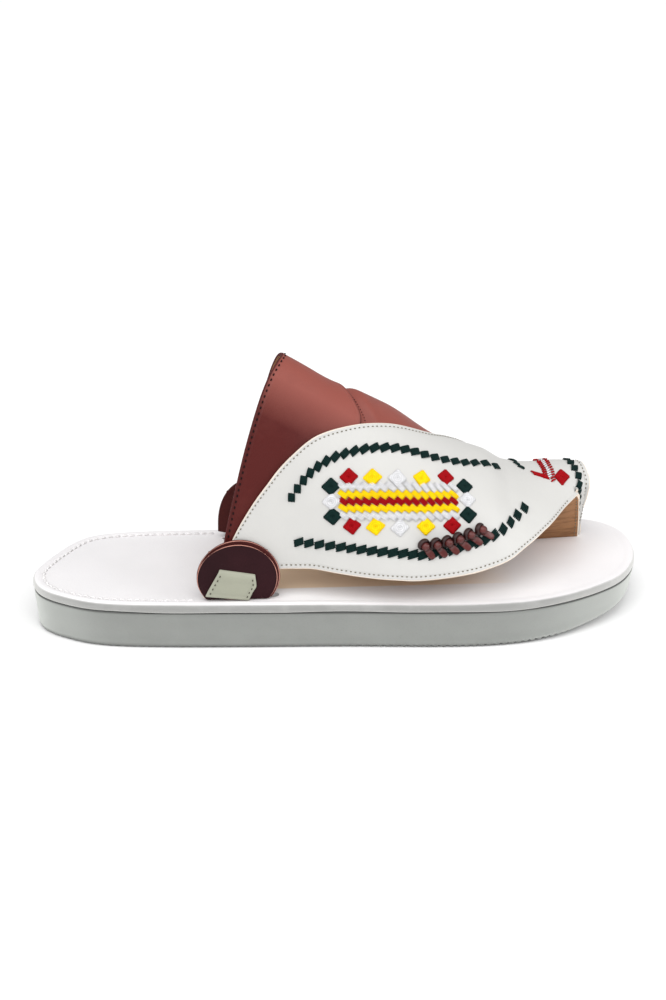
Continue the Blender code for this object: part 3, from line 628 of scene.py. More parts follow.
class SandalColours(bpy.types.PropertyGroup):
    """Colours of the leathers, threads and foam."""

    foam: colour("Foam", "Moulded sole", 130, 132, 129)
    footbed: colour("Footbed", "Leather round the footbed", 230, 228, 229)
    # Painted shade: the side of the same wrapped leather, darker than its top.
    footbed_side: colour("Footbed side", "Side of the footbed's leather", 148, 148, 146)
    # Painted shade: a tan shade on the bed under the vamp.
    bed_painted_shade: colour("Bed painted shade", "Tan tint of the bed under the vamp", 248, 224, 194)
    # Painted light: a paler bed under the vamp's hem.
    bed_painted_light: colour("Bed painted light", "Paler bed beside the vamp", 248, 247, 247)
    white: colour("Vamp", "White grain leather of the vamp", 195, 194, 191)
    white_edge: colour("Vamp edge", "Cut edge of the vamp", 226, 214, 200)
    lining: colour("Lining", "Tan lining of the vamp and straps", 152, 110, 76)
    brown: colour("Straps", "Red-brown grain leather of the straps", 138, 74, 65)
    # Partly burnished leather, partly painted shade: darker down the straps' sides.
    brown_burnish_and_shade: colour("Strap sides", "Darker leather down the sides of the straps", 78, 21, 18)
    brown_edge: colour("Strap edge", "Burnished edge of the straps", 78, 34, 33)
    rim_disc: colour("Back disc", "Leather of the back discs", 70, 26, 24)
    face_disc: colour("Front disc", "Maroon leather of the front discs", 40, 14, 19)
    disc_edge: colour("Disc edge", "Raw edge of the discs", 196, 140, 126)
    cream: colour("Keeper tab", "Cream leather of the keeper tabs", 151, 152, 136)
    knot: colour("Knots", "Leather of the knots", 87, 30, 27)
    # Partly darker leather of the rings, partly painted shade round the knots' heads.
    knot_ring_and_shade: colour("Knot rings", "Burnished rings of the knots", 44, 18, 18)
    seam: colour("Vamp thread", "Sewing thread of the vamp", 122, 116, 101)
    brown_seam: colour("Strap thread", "Sewing thread of the straps", 30, 11, 13)
    rim_seam: colour("Footbed thread", "Sewing thread of the footbed's rim", 236, 234, 234)
    green: colour("Green yarn", "Green embroidery yarn", 8, 36, 34)
    red: colour("Red yarn", "Red embroidery yarn", 154, 0, 11)
    yellow: colour("Yellow yarn", "Yellow embroidery yarn", 250, 208, 6)
    pale: colour("White yarn", "White embroidery yarn", 214, 214, 216)


def sizes():
    """The sizes that the scene holds."""
    return bpy.context.scene.sandal_sizes


def colours():
    """The colours that the scene holds."""
    return bpy.context.scene.sandal_colours


# ------------------------------------------------------------------ sole and footbed


def sole_loop(steps):
    """The sole's outline from above: heel end, outer side, toe end, inner side."""
    along = HEEL + column(SOLE_OUTLINE, 0, SOLE_LENGTH)
    outer = np.stack([along, column(SOLE_OUTLINE, 1, BALL_WIDTH)], axis=1)
    inner = np.stack([along, column(SOLE_OUTLINE, 2, BALL_WIDTH)], axis=1)
    return smooth_loop(np.concatenate([outer, inner[-2:0:-1]]), steps)


def inset_loop(loop, inset):
    """The loop moved inwards by inset, square to itself; inset is an array for several loops."""
    ahead = unit(np.roll(loop, -1, axis=0) - np.roll(loop, 1, axis=0))
    inward = np.stack([-ahead[:, 1], ahead[:, 0]], axis=1)
    return loop + inward * np.asarray(inset)[..., None, None]


def fine_profile(profile, steps):
    """A profile table as (inset, height) arrays in metres, steps places to each of its spans."""
    at = np.linspace(0, len(profile) - 1, (len(profile) - 1) * steps + 1)
    knots = np.arange(len(profile), dtype=float)
    return (steady_curve(knots, column(profile, 0, MM), at), steady_curve(knots, column(profile, 1, MM), at))


def toe_lift(along):
    """How far the underside curls up towards the toe: spring ((x - start)/reach)^2.6."""
    reach = HEEL + SOLE_LENGTH - SPRING_START
    return TOE_SPRING * np.clip((along - SPRING_START) / reach, 0, 1) ** SPRING_POWER


def tread(along, across):
    """Depth share of the tread's wavy cross grooves: rounded pulses of x + 6 mm tri(y / 17 mm),
    deep from the waist to the ball and shallow under the heel and the toe."""
    fold = np.abs((across / (17 * MM)) % 2 - 1)
    phase = (along + 6 * MM * fold) / sizes().tread_pitch
    deep = ease((along + 5 * MM) / (20 * MM)) * (1 - ease((along - 95 * MM) / (20 * MM)))
    return ease(0.5 + 1.3 * np.cos(2 * math.pi * phase)) * (0.2 + 0.8 * deep)


def capped_stack(rings, low_columns, high_columns, low_height=None, low_bands=0):
    """A closed body from level rings of one outline, with a grid across its bottom and its top:
    row i of a cap runs straight from place i of the outline to its partner on the other side.
    When low_bands is above 0, the bottom and the first low_bands bands of its wall take the
    second finish."""
    levels, count = rings.shape[:2]
    wall = wall_quads(np.arange(levels * count).reshape(levels, count))
    flat = rings.reshape(-1, 3)[:, :2]
    side = low_bands * count
    made = [part(rings, [(wall[:side], flat[wall[:side]], 1), (wall[side:], flat[wall[side:]], 0)])]
    row = np.arange(count // 2 + 1)
    for ring, columns, downward in ((rings[0], low_columns, True), (rings[-1], high_columns, False)):
        way = np.linspace(0, 1, columns)[None, :, None]
        grid = ring[row][:, None] * (1 - way) + ring[-row][:, None] * way
        if downward and low_height is not None:
            inside = 4 * way[..., 0] * (1 - way[..., 0])
            grid[..., 2] = np.where(inside > 0, low_height(grid[..., 0], grid[..., 1]), grid[..., 2])
        quads = grid_quads(np.arange(grid.shape[0] * columns).reshape(-1, columns))
        quads = quads[:, ::-1] if downward else quads
        finish = 1 if downward and low_bands else 0
        made.append(part(grid, [(quads, grid.reshape(-1, 3)[:, :2][quads], finish)]))
    return made


def seam_wander(loop):
    """A slight rise and fall of the wrap's lower edge round the sole: two slow waves."""
    around = arc_places(loop) / arc_places(loop)[-1] * 2 * math.pi
    return 0.22 * MM * np.sin(5 * around) + 0.16 * MM * np.sin(13 * around + 1.0)


class SANDAL_OT_outsole(bpy.types.Operator):
    """Mould the foam sole with its tread"""

    bl_idname = "sandal.outsole"
    bl_label = "Moulded sole"

    def execute(self, context):
        loop = sole_loop(40)
        inset, height = fine_profile(SOLE_PROFILE, 3)
        flat = inset_loop(loop, inset)
        depth = sizes().tread_depth
        cut = tread(flat[..., 0], flat[..., 1]) * depth * np.clip(1 - height / (2.6 * MM), 0, 1)[:, None]
        level = height[:, None] + seam_wander(loop) * ease((height - 14 * MM) / (3 * MM))[:, None]
        level = level + np.minimum(cut, depth)
        lift = toe_lift(flat[..., 0])
        level = level + lift * (1 - np.clip(level / SOLE_HEIGHT, 0, 1))
        rings = np.concatenate([flat, level[..., None]], axis=-1)

        def underside(along, across):
            """Height of the sole's underside: its tread and the curl of the toe."""
            return tread(along, across) * depth + toe_lift(along)

        parts = capped_stack(rings, 46, 5, underside)
        make_piece("moulded_sole", parts, [foam_finish("sole_foam", colours().foam)],
                   ["outsole"], merge=True)
        return {"FINISHED"}


# Low and high corner of each slot in the footbed, seen from above, mm.
FOOT_SLOTS = [((-61.5, -39.0), (-27.2, -33.8)), ((-53.0, 27.8), (-18.0, 30.2)),
              ((94.0, 21.4), (123.0, 27.2)), ((86.5, 39.4), (121.0, 41.6))]
SLOT_SIDES = 24
# How far the heel's stitches run inside the edge, and where their row starts and ends along.
RIM_SEAM_INSET = 5.2 * MM
RIM_SEAM_ENDS = (-62 * MM, -58 * MM)


def slot_cutter(low, high):
    """A straight slot with round ends, to be cut through the footbed: a stadium outline
    (half length + radius cos a, radius sin a), upright from below the board to above it."""
    middle = 0.5 * (np.array(low) + np.array(high)) * MM
    radius = 0.5 * (high[1] - low[1]) * MM
    straight = 0.5 * (high[0] - low[0]) * MM - radius
    angle = np.linspace(0, 2 * math.pi, SLOT_SIDES, endpoint=False)
    ring = middle + np.stack([np.sign(np.cos(angle)) * straight + radius * np.cos(angle),
                              radius * np.sin(angle)], axis=1)
    rings = np.stack([np.concatenate([ring, np.full((SLOT_SIDES, 1), z)], axis=1)
                      for z in (17.5 * MM, 25 * MM)])
    index = np.arange(2 * SLOT_SIDES).reshape(2, SLOT_SIDES)
    mesh = bpy.data.meshes.new("slot")
    mesh.from_pydata(rings.reshape(-1, 3).tolist(), [],
                     wall_quads(index).tolist() + [index[0][::-1].tolist(), index[1].tolist()])
    cutter = bpy.data.objects.new("slot", mesh)
    bpy.context.scene.collection.objects.link(cutter)
    return cutter


class SANDAL_OT_footbed(bpy.types.Operator):
    """Wrap the footbed, cut its slots and sew its rim round the heel"""

    bl_idname = "sandal.footbed"
    bl_label = "Wrapped footbed"

    def execute(self, context):
        loop = sole_loop(14)
        inset, height = fine_profile(FOOTBED_PROFILE, 2)
        flat = inset_loop(loop, inset)
        rolled = 1 - 0.75 * ease((flat[..., 0] + 20 * MM) / (60 * MM))
        top = np.maximum(height - BED_HEIGHT, 0)[:, None]
        level = height[:, None] - np.where(inset[:, None] > 1 * MM, top * (1 - rolled), 0)
        level = level + seam_wander(loop) * (1 - ease((height - 18.6 * MM) / (1.2 * MM)))[:, None]
        rings = np.concatenate([flat, level[..., None]], axis=-1)
        # The footbed's patches are painted light under the vamp's hem and painted tan shade further under
        # the vamp.
        wrap = leather("footbed_leather", colours().footbed, grain=0.9 * MM, depth=0.035 * MM,
                       roughness=0.5, specular=0.3, blotch=0.012, wave=0.12 * MM,
                       painted_patches=((colours().bed_painted_light, -30 * MM, 90 * MM, -43 * MM, 32 * MM, 5 * MM),
                              (colours().bed_painted_shade, -40 * MM, 65 * MM, -30.1 * MM, 32 * MM, 0.5 * MM)))
        # The side's darker colour is painted shade, its lighter ends at grazing angles painted light, and on
        # the rolled top it turns to the bed's colour.
        side = leather("footbed_side_leather", colours().footbed_side, grain=0.9 * MM, depth=0.035 * MM,
                       roughness=0.55, specular=0.25, blotch=0.03, wave=0.12 * MM, slant=2.3,
                       low=(0.0, 22.0 * MM, 23.0 * MM, colours().footbed))
        piece = make_piece("wrapped_footbed", capped_stack(rings, 5, 64, low_bands=13), [wrap, side],
                           ["footbed"], merge=True)
        for low, high in FOOT_SLOTS:
            cutter = slot_cutter(low, high)
            cut = piece.modifiers.new("slot", "BOOLEAN")
            cut.operation = "DIFFERENCE"
            cut.object = cutter
            with context.temp_override(object=piece, active_object=piece, selected_objects=[piece]):
                bpy.ops.object.modifier_apply(modifier=cut.name)
            bpy.data.objects.remove(cutter)
        piece.data.shade_smooth()
        piece.data.set_sharp_from_angle(angle=math.radians(40))
        self.sew_rim(loop)
        return {"FINISHED"}

    def sew_rim(self, loop):
        """Stitches inside the edge, from the outer discs round the heel to the inner discs."""
        line = inset_loop(loop, RIM_SEAM_INSET)
        half = len(line) // 2
        start = np.argmin(np.abs(line[:half, 0] - RIM_SEAM_ENDS[0]))
        end = half + np.argmin(np.abs(line[half:, 0] - RIM_SEAM_ENDS[1]))
        line = np.roll(line, -end, axis=0)[: (start - end) % len(line)]
        line = np.concatenate([line, np.full((len(line), 1), BED_HEIGHT + 0.1 * MM)], axis=1)
        up = np.broadcast_to((0.0, 0.0, 1.0), line.shape)
        seam = seam_stitches(line, up, sizes().rim_pitch, sizes().rim_pitch * 0.86, 1.2 * MM)
        make_piece("footbed_stitches", [seam], [thread_finish("rim_thread", colours().rim_seam)])


def along_line(line, places):
    """Values of an array along a line, read at distances walked along it."""
    walked = arc_places(line[..., :3])
    return np.stack([np.interp(places, walked, line[:, k]) for k in range(line.shape[1])], axis=-1)


def seam_stitches(line, normal, pitch, reach, width):
    """A row of stitches along a line on leather: each one a short arc that rises to a third of its
    width over the leather and goes down into its holes, h(t) = width (0.33 - 0.75 |2t - 1|^5)."""
    walked = arc_places(line)[-1]
    count = max(1, int(walked / pitch))
    middle = (np.arange(count) + 0.5) * walked / count
    t = np.linspace(0, 1, THREAD_PLACES)
    both = along_line(np.concatenate([line, normal], axis=1), middle[:, None] + (t - 0.5) * reach)
    path, off = both[..., :3], unit(both[..., 3:])
    rise = width * (0.33 - 0.75 * np.abs(2 * t - 1) ** 5)
    slim = 0.5 * width * (1 - 0.45 * np.abs(2 * t - 1) ** 3)
    return threads(path + off * rise[:, None], off, slim, slim * 0.8)


# ------------------------------------------------------------------ leather sheets


def even(count, crowd=0.25):
    """Shares from 0 to 1 that crowd a little towards both ends."""
    t = np.linspace(0, 1, count)
    return (1 - crowd) * t + crowd * 0.5 * (1 - np.cos(math.pi * t))


# Spans of the vamp's grid along, mm, and how many rows each has.
VAMP_SPANS = [(-62.0, -27.0, 34), (-27.0, 80.0, 90), (80.0, 116.5, 66)]
# Columns of the vamp's grid on its leaf and on its ring, and the ways over at which the leaf ends
# and the ring starts.
LEAF_COLUMNS = 46
RING_COLUMNS = 56
LEAF_WAY = 0.308
RING_WAY = 0.692
# How far from the fold's mouth its own columns reach, and how far each side is off the other.
FOLD_REACH = 4.2 * MM
FOLD_TOUCH = 0.02 * MM
# Where the slit opens along: the grain side is closed over the fold behind it.
SLIT_START = 114 * MM
SLIT_FULL = 119 * MM
# Distances from the fold's mouth of the columns beside it, on the arch and down the fold, mm.
MOUTH_COLUMNS = [4.2, 3.4, 2.7, 2.1, 1.6, 1.2, 0.85, 0.55, 0.3, 0.12]
# Columns down each wall of the fold, and round its foot.
FOLD_WALL_STEPS = 12
FOLD_TURN_STEPS = 5
# Depth over which the fold grows out of the flat sheet.
FOLD_EASE = 6 * MM


def vamp_face():
    """How far the vamp's grain side is off the arch."""
    return sizes().layer_step + 0.5 * sizes().strap_wall


def slit_share(place):
    """How open the fold's slit is: closed over the arch until close to the hem."""
    return ease((place - SLIT_START) / (SLIT_FULL - SLIT_START))


def fold_mouth(place):
    """The fold's mouth at places along: its share, its point on the grain side, the directions on
    the arch and down the fold from it, and the fold's depth."""
    places = column(VAMP_EDGES, 0, MM)
    fold = steady_curve(places, column(VAMP_EDGES, 2), place)
    mouth = arch_layer(place, fold, vamp_face())
    foot = mouth.copy()
    foot[..., 1], foot[..., 2] = FOLD_FOOT
    deep = ease((place - FOLD_START) / (FOLD_FULL - FOLD_START))
    return fold, mouth, unit(foot - mouth), np.linalg.norm(foot - mouth, axis=-1) * deep


def fold_side(place, way_down, on_arch, side):
    """Grain and flesh points of one side of the fold.  way_down is each column's distance from the
    mouth: below 0 on the arch, above 0 down the fold; on_arch is how far its columns reach on the
    arch; side is -1 for the leaf's, 1 for the ring's.  The two directions meet in a bend b, the
    curve (1-t)^2 low + 2 t (1-t) mouth + t^2 high, and the flesh side in a mitre
    m = wall / tan(angle / 2)."""
    wall = sizes().strap_wall
    fold, mouth, down, depth = fold_mouth(place)
    aside = np.cross(down, (-1.0, 0.0, 0.0)) * side
    over = np.linalg.norm(arch_slopes(place, fold)[1], axis=-1)
    seat = sizes().layer_step

    def laid(distance, off):
        """A point on the arch at a distance from the mouth."""
        return arch_layer(place, fold + side * distance / over, off)

    run = unit(laid(2 * MM, seat + 0.5 * wall) - mouth)
    angle = np.arccos(np.clip(np.sum(run * down, axis=-1), -1, 1))
    mitre = wall / np.tan(0.5 * angle)
    bend = 0.12 * MM + (3.4 * MM if side > 0 else 0.0) * slit_share(place) ** 1.5
    distance = -way_down
    # grain side: arch, then the bend, a curve pulled towards the mouth, then the fold's wall
    wall_point = mouth + down * way_down[..., None] + aside * FOLD_TOUCH
    t = np.clip((bend + distance) / (2 * bend), 0, 1)[..., None]
    low = mouth + down * bend[..., None] + aside * FOLD_TOUCH
    high = laid(bend, seat + 0.5 * wall)
    curve = (1 - t) ** 2 * low + 2 * t * (1 - t) * mouth + t * t * high
    grain = np.where((distance > bend)[..., None], laid(np.maximum(distance, 0), seat + 0.5 * wall),
                     np.where((distance < -bend)[..., None], wall_point, curve))
    # flesh side: both directions squeezed to end at the mitre
    reach = np.maximum(on_arch, 1e-6)
    far = mitre + np.maximum(distance, 0) * np.maximum(reach - mitre, 0) / reach
    flesh_arch = laid(far, seat - 0.5 * wall)
    deepest = np.maximum(depth, 1e-6)
    low_down = mitre + np.maximum(way_down, 0) * np.maximum(deepest - mitre, 0) / deepest
    flesh_wall = mouth + down * low_down[..., None] + aside * wall
    return grain, np.where((distance > 0)[..., None], flesh_arch, flesh_wall)


def vamp_sides():
    """Grain and flesh grids of the vamp.  Leaf and ring are the arch's layer at +-wall/2; between
    them the sheet folds down beside the big toe: the leaf turns down into the footbed's toe slot,
    round its foot and up again, grain against grain, and on over the toe as the ring.  Beside the
    fold, share = fold + distance / (length of one share); from there it runs evenly to the edge."""
    wall = sizes().strap_wall
    off = sizes().layer_step
    places = column(VAMP_EDGES, 0, MM)
    spans = [np.linspace(rear * MM, front * MM, rows)[:-1] for rear, front, rows in VAMP_SPANS]
    along = np.concatenate(spans + [[FOLD_END]])
    lower, upper = (steady_curve(places, column(VAMP_EDGES, k), along)[:, None] for k in (1, 3))
    half = 2 * len(MOUTH_COLUMNS) + FOLD_WALL_STEPS + FOLD_TURN_STEPS
    flat = np.linspace(-1, 1, 2 * half + 1)
    leaf, ring = even(LEAF_COLUMNS), even(RING_COLUMNS)
    way = np.concatenate([LEAF_WAY * leaf[:-1], LEAF_WAY + (RING_WAY - LEAF_WAY) * 0.5 * (flat + 1),
                          RING_WAY + (1 - RING_WAY) * ring[1:]])
    forward = steady_curve(column(HEM_FORWARD, 0), column(HEM_FORWARD, 1, MM), way)
    place = along[:, None] + forward * ease((along[:, None] - FOLD_START) / (FOLD_END - FOLD_START))
    fold = steady_curve(places, column(VAMP_EDGES, 2), place)
    over = np.linalg.norm(arch_slopes(place, fold)[1], axis=-1)
    near = np.minimum(FOLD_REACH, 0.7 * over * (fold - lower))
    far = np.minimum(FOLD_REACH, 0.7 * over * (upper - fold))
    inner = np.concatenate([np.full(LEAF_COLUMNS - 1, -1.0), flat, np.full(RING_COLUMNS - 1, 1.0)])
    outward = np.concatenate([leaf[:-1] - 1, 0 * flat, ring[1:]])
    share = fold + inner * np.where(inner < 0, near, far) / over
    share = share + np.abs(outward) * (np.where(inner < 0, lower, upper) - share)
    grain, flesh = (arch_layer(place, share, off + half_wall) for half_wall in (0.5 * wall, -0.5 * wall))
    first = LEAF_COLUMNS - 1
    mouth = np.array(MOUTH_COLUMNS) * MM
    for side, reach, columns in ((-1, near, first + np.arange(half)),
                                 (1, far, first + 2 * half - np.arange(half))):
        spot, reach = place[:, columns], reach[:, columns]
        _, _, down, depth = fold_mouth(spot)
        turn = wall + FOLD_TOUCH
        bottom = np.maximum(depth - turn, 0.0)
        upper_part = -mouth * (reach[:, :len(mouth)] / FOLD_REACH)
        lower_part = mouth[::-1] * np.minimum(1, 0.4 * bottom[:, :1] / FOLD_REACH)
        steps = np.arange(1, FOLD_WALL_STEPS + 1) / FOLD_WALL_STEPS
        deeper = lower_part[:, -1:] + (bottom[:, -1:] - lower_part[:, -1:]) * steps
        last = np.repeat(bottom[:, -1:], FOLD_TURN_STEPS, axis=1)
        way_down = np.concatenate([upper_part, lower_part, deeper, last], axis=1)
        back = fold_side(spot, way_down, reach, side)[1]
        aside = np.cross(down, (-1.0, 0.0, 0.0)) * side
        angle = (np.arange(FOLD_TURN_STEPS) + 1) / (FOLD_TURN_STEPS + 1) * 0.5 * math.pi
        foot = slice(-FOLD_TURN_STEPS, None)
        back[:, foot] += (aside[:, foot] * (wall * (np.cos(angle) - 1))[:, None]
                          + down[:, foot] * (wall * np.sin(angle))[:, None])
        slit = slit_share(spot)
        inside = np.maximum(way_down, 0) * slit + np.minimum(way_down, 0)
        folded = fold_side(spot, inside, reach, side)[0]
        closed = ease(depth / FOLD_EASE)[..., None]
        open_grain = ease(slit * 2)[..., None] * closed
        grain[:, columns] = grain[:, columns] * (1 - open_grain) + folded * open_grain
        flesh[:, columns] = flesh[:, columns] * (1 - closed) + back * closed
    middle = first + half
    slit = slit_share(place[:, middle])
    for sheet, reach, share_open in ((grain, 0.0, slit), (flesh, wall, 1.0)):
        _, mouth_point, down, depth = fold_mouth(place[:, middle])
        foot = mouth_point + down * ((depth - wall - FOLD_TOUCH) * share_open + reach)[:, None]
        closed = (ease(depth / FOLD_EASE) * ease(share_open * 2))[:, None]
        sheet[:, middle] = sheet[:, middle] * (1 - closed) + foot * closed
    return grain, flesh


def ridge_lift(along, share):
    """Where the straps cross on the ridge they stand up a little: the sum of two bell curves."""
    across = np.exp(-((share - 0.46) / 0.10) ** 2)
    crossing = 1.5 * MM * np.exp(-((along - 9 * MM) / (9 * MM)) ** 2)
    return (crossing + 0.6 * MM * np.exp(-((along + 13 * MM) / (9 * MM)) ** 2)) * across


def instep_strap_middle():
    """The rear strap's middle grid: along = rear + (front - rear) way, on the arch itself."""
    shares = column(INSTEP_STRAP_EDGES, 0)
    share = np.concatenate([shares[:1], np.linspace(0, 1, 170), shares[-1:]])
    rear = steady_curve(shares, column(INSTEP_STRAP_EDGES, 1, MM), share)
    front = steady_curve(shares, column(INSTEP_STRAP_EDGES, 2, MM), share)
    along = rear + (front - rear) * even(60)[:, None]
    share = np.broadcast_to(share, along.shape)
    return arch_layer(along, share, ridge_lift(along, share))


def front_strap_drop(along, share):
    """The front strap's place off the arch: under the rear strap, then up onto the arch itself."""
    shares = column(INSTEP_STRAP_EDGES, 0)
    strap_front = steady_curve(shares, column(INSTEP_STRAP_EDGES, 2, MM), share)
    under = -sizes().layer_step * (1 - ease((along - strap_front - 3 * MM) / (6 * MM)))
    return under + ridge_lift(along, share)


def front_strap_middle():
    """The front strap's middle grid: share = start + (end - start) way at each place along."""
    places = column(FRONT_STRAP_EDGES, 0, MM)
    along = np.linspace(places[0], places[-1], 130)[:, None]
    start = steady_curve(places, column(FRONT_STRAP_EDGES, 1), along)
    end = steady_curve(places, column(FRONT_STRAP_EDGES, 2), along)
    share = start + (end - start) * even(90)
    along = np.broadcast_to(along, share.shape)
    return arch_layer(along, share, front_strap_drop(along, share))


def border_line(grid, side, inset, facing=1):
    """The line on a grid that runs at an inset from one of its borders, by walking in from it:
    its points and the grid's normals beside them, six numbers to a place."""
    both = np.concatenate([grid, sheet_normals(grid) * facing], axis=-1)
    lines = {"low": both.swapaxes(0, 1), "high": both.swapaxes(0, 1)[::-1],
             "rear": both, "front": both[::-1]}[side]
    walked = arc_places(lines[..., :3])
    low = np.clip((walked < inset).sum(axis=0) - 1, 0, len(lines) - 2)
    at = np.arange(lines.shape[1])
    start, end = walked[low, at], walked[low + 1, at]
    t = ((inset - start) / np.maximum(end - start, 1e-9))[:, None]
    points = lines[low, at, :3] * (1 - t) + lines[low + 1, at, :3] * t
    return np.concatenate([points, lines[low, at, 3:]], axis=1)


def seams_on(grid, borders, inset=SEAM_INSET, facing=1, coarse=1.0):
    """Stitches at an inset from borders of a leather side; borders holds (side, first share, last
    share), and coarse is how many times as long and thick as the vamp's they are."""
    made = []
    for side, first, last in borders:
        both = border_line(grid, side, inset, facing)
        both = both[int(first * (len(both) - 1)):int(last * (len(both) - 1)) + 1]
        made.append(seam_stitches(both[:, :3], unit(both[:, 3:]), sizes().stitch_pitch * coarse ** 0.75,
                                  sizes().stitch_length * coarse, sizes().thread_width * coarse))
    return made


class SANDAL_OT_vamp(bpy.types.Operator):
    """Cut, line and sew the white vamp"""

    bl_idname = "sandal.vamp"
    bl_label = "White vamp"

    def execute(self, context):
        grain, flesh = vamp_sides()
        face = leather("white_leather", colours().white, grain=0.8 * MM, depth=0.03 * MM, roughness=0.42,
                       specular=0.4, blotch=0.015, wave=0.35 * MM, edge_factor=0.97, groove=0.12 * MM)
        back = leather("lining_leather", colours().lining, grain=0.5 * MM, depth=0.05 * MM,
                       roughness=0.7, specular=0.2, blotch=0.1, wave=0.9 * MM, wrinkle_shade=0.6,
                       stretch=(0.5, 0.5, 3.0))
        edge = leather("white_cut_edge", colours().white_edge, grain=0.35 * MM, depth=0.06 * MM,
                       roughness=0.8, specular=0.15, blotch=0.1)
        make_piece("vamp_leather", [leather_shell(grain, flesh)], [face, back, edge],
                   ["vamp"])
        sides = [("low", 0.17, 0.95), ("high", 0.03, 0.80)]
        seams = seams_on(grain, sides + [("front", 0.50, 0.97)])
        seams += seams_on(flesh, sides + [("front", 0.0, 0.97)], facing=-1)
        make_piece("vamp_stitches", seams, [thread_finish("vamp_thread", colours().seam)])
        return {"FINISHED"}


class SANDAL_OT_straps(bpy.types.Operator):
    """Cut, line and sew the two brown straps"""

    bl_idname = "sandal.straps"
    bl_label = "Brown straps"

    def execute(self, context):
        wall = sizes().strap_wall
        # The darker colour down the straps' sides is painted shade together with burnished leather.
        face = leather("brown_leather", colours().brown, grain=0.6 * MM, depth=0.045 * MM, roughness=0.42,
                       specular=0.2, blotch=0.1, wave=0.25 * MM, edge_factor=0.72, groove=0.15 * MM,
                       low=(0.57, 106 * MM, 86 * MM, colours().brown_burnish_and_shade))
        back = bpy.data.materials["lining_leather"]
        edge = leather("brown_cut_edge", colours().brown_edge, grain=0.4 * MM, depth=0.04 * MM,
                       roughness=0.7, specular=0.12, blotch=0.15)
        rear = instep_strap_middle()
        front = front_strap_middle()
        make_piece("instep_strap_leather", [shell_of(rear, wall)], [face, back, edge],
                   ["instep_strap"])
        make_piece("front_strap_leather", [shell_of(front, wall)], [face, back, edge],
                   ["front_strap"])
        thread = thread_finish("strap_thread", colours().brown_seam)
        seams = self.strap_seams(grain_side(rear, wall), "rear", 0.03, 0.97)
        seams += self.strap_seams(grain_side(rear, -wall), "rear", 0.03, 0.97, -1)
        make_piece("instep_strap_stitches", seams, [thread])
        seams = self.strap_seams(grain_side(front, wall), "high", 0.16, 0.98)
        shares = column(INSTEP_STRAP_EDGES, 0)
        share = np.linspace(0.335, 0.93, 120)
        along = steady_curve(shares, column(INSTEP_STRAP_EDGES, 2, MM), share) + 3.0 * MM
        line = arch_layer(along, share, front_strap_drop(along, share) + 0.5 * wall)
        seams.append(seam_stitches(line, arch_normal(along, share), sizes().stitch_pitch * 0.7,
                                   sizes().stitch_length * 0.7, sizes().thread_width * 0.8))
        make_piece("front_strap_stitches", seams, [thread])
        return {"FINISHED"}

    def strap_seams(self, side, border, first, last, facing=1):
        """A coarse dark seam, 1 mm inside a strap's border."""
        return seams_on(side, [(border, first, last)], 1.0 * MM, facing, coarse=1.4)


# ------------------------------------------------------------------ discs and keeper tabs

# Places along of the middle of each side's strap end.
ANCHOR_MIDDLE = {"outer": -46.0 * MM, "inner": -37.0 * MM}
DISC_CELLS = 44
# How far over the bed the discs end, and how square their outline is: 2 is an ellipse.
DISC_FOOT = {"outer": 0.6 * MM, "inner": 2.6 * MM}
DISC_SQUARE = {"outer": 2.0, "inner": 2.5}
# Discs of each side, back then front: place along, height of the middle, half width, half height.
DISCS = {
    "outer": ((0.0, 10.5 * MM, 18.8 * MM, 16.8 * MM), (-0.6 * MM, 10.2 * MM, 18.2 * MM, 15.5 * MM)),
    "inner": ((0.8 * MM, 5.0 * MM, 18.4 * MM, 26.0 * MM), (1.2 * MM, 4.7 * MM, 17.7 * MM, 24.5 * MM)),
}
# Keeper tab: height over the bed, then its rear and front edge from the anchor's middle, mm.
TAB_EDGES = [(0.6, -15.0, 4.4), (4.5, -13.2, 6.0), (8.5, -11.2, 7.8), (14.0, -8.5, 7.3)]
# How far its corners are tilted up, mm: bottom rear, bottom front, top rear, top front.
TAB_TILT = (2.1, 0.0, 0.3, -2.4)


def anchor_sheet(side, along, height, off):
    """A grid on one side of the arch, from places along (from the anchor's middle) and heights."""
    along = ANCHOR_MIDDLE[side] + along
    share = share_at_height(along, height)
    grid = arch_layer(along, share if side == "outer" else 1 - share, off)
    return grid if side == "outer" else grid[:, ::-1]


def half_moon(outline, foot, square):
    """A disc as a grid without a pole, cut off along the bed: (u, v) goes to
    (u sqrt(1 - v v/2), v sqrt(1 - u u/2)), each ray is stretched by (|x|^n + |y|^n)^(-1/n) of its
    direction, then all is scaled by the half sizes and by the cut along each ray."""
    shift, rise, half_width, half_height = outline
    u, v = np.meshgrid(*[np.sin(np.linspace(-1.3, 1.3, DISC_CELLS)) / math.sin(1.3)] * 2, indexing="ij")
    x, y = u * np.sqrt(1 - v * v / 2), v * np.sqrt(1 - u * u / 2)
    radius = np.maximum(np.hypot(x, y), 1e-9)
    reach = (np.abs(x / radius) ** square + np.abs(y / radius) ** square) ** (-1 / square)
    x, y = x * reach, y * reach
    drop = rise - foot
    fall = -half_height * y / radius
    cut = np.where(fall > drop, drop / np.maximum(fall, drop), 1.0)
    return shift + half_width * x * cut, rise + half_height * y * cut, radius


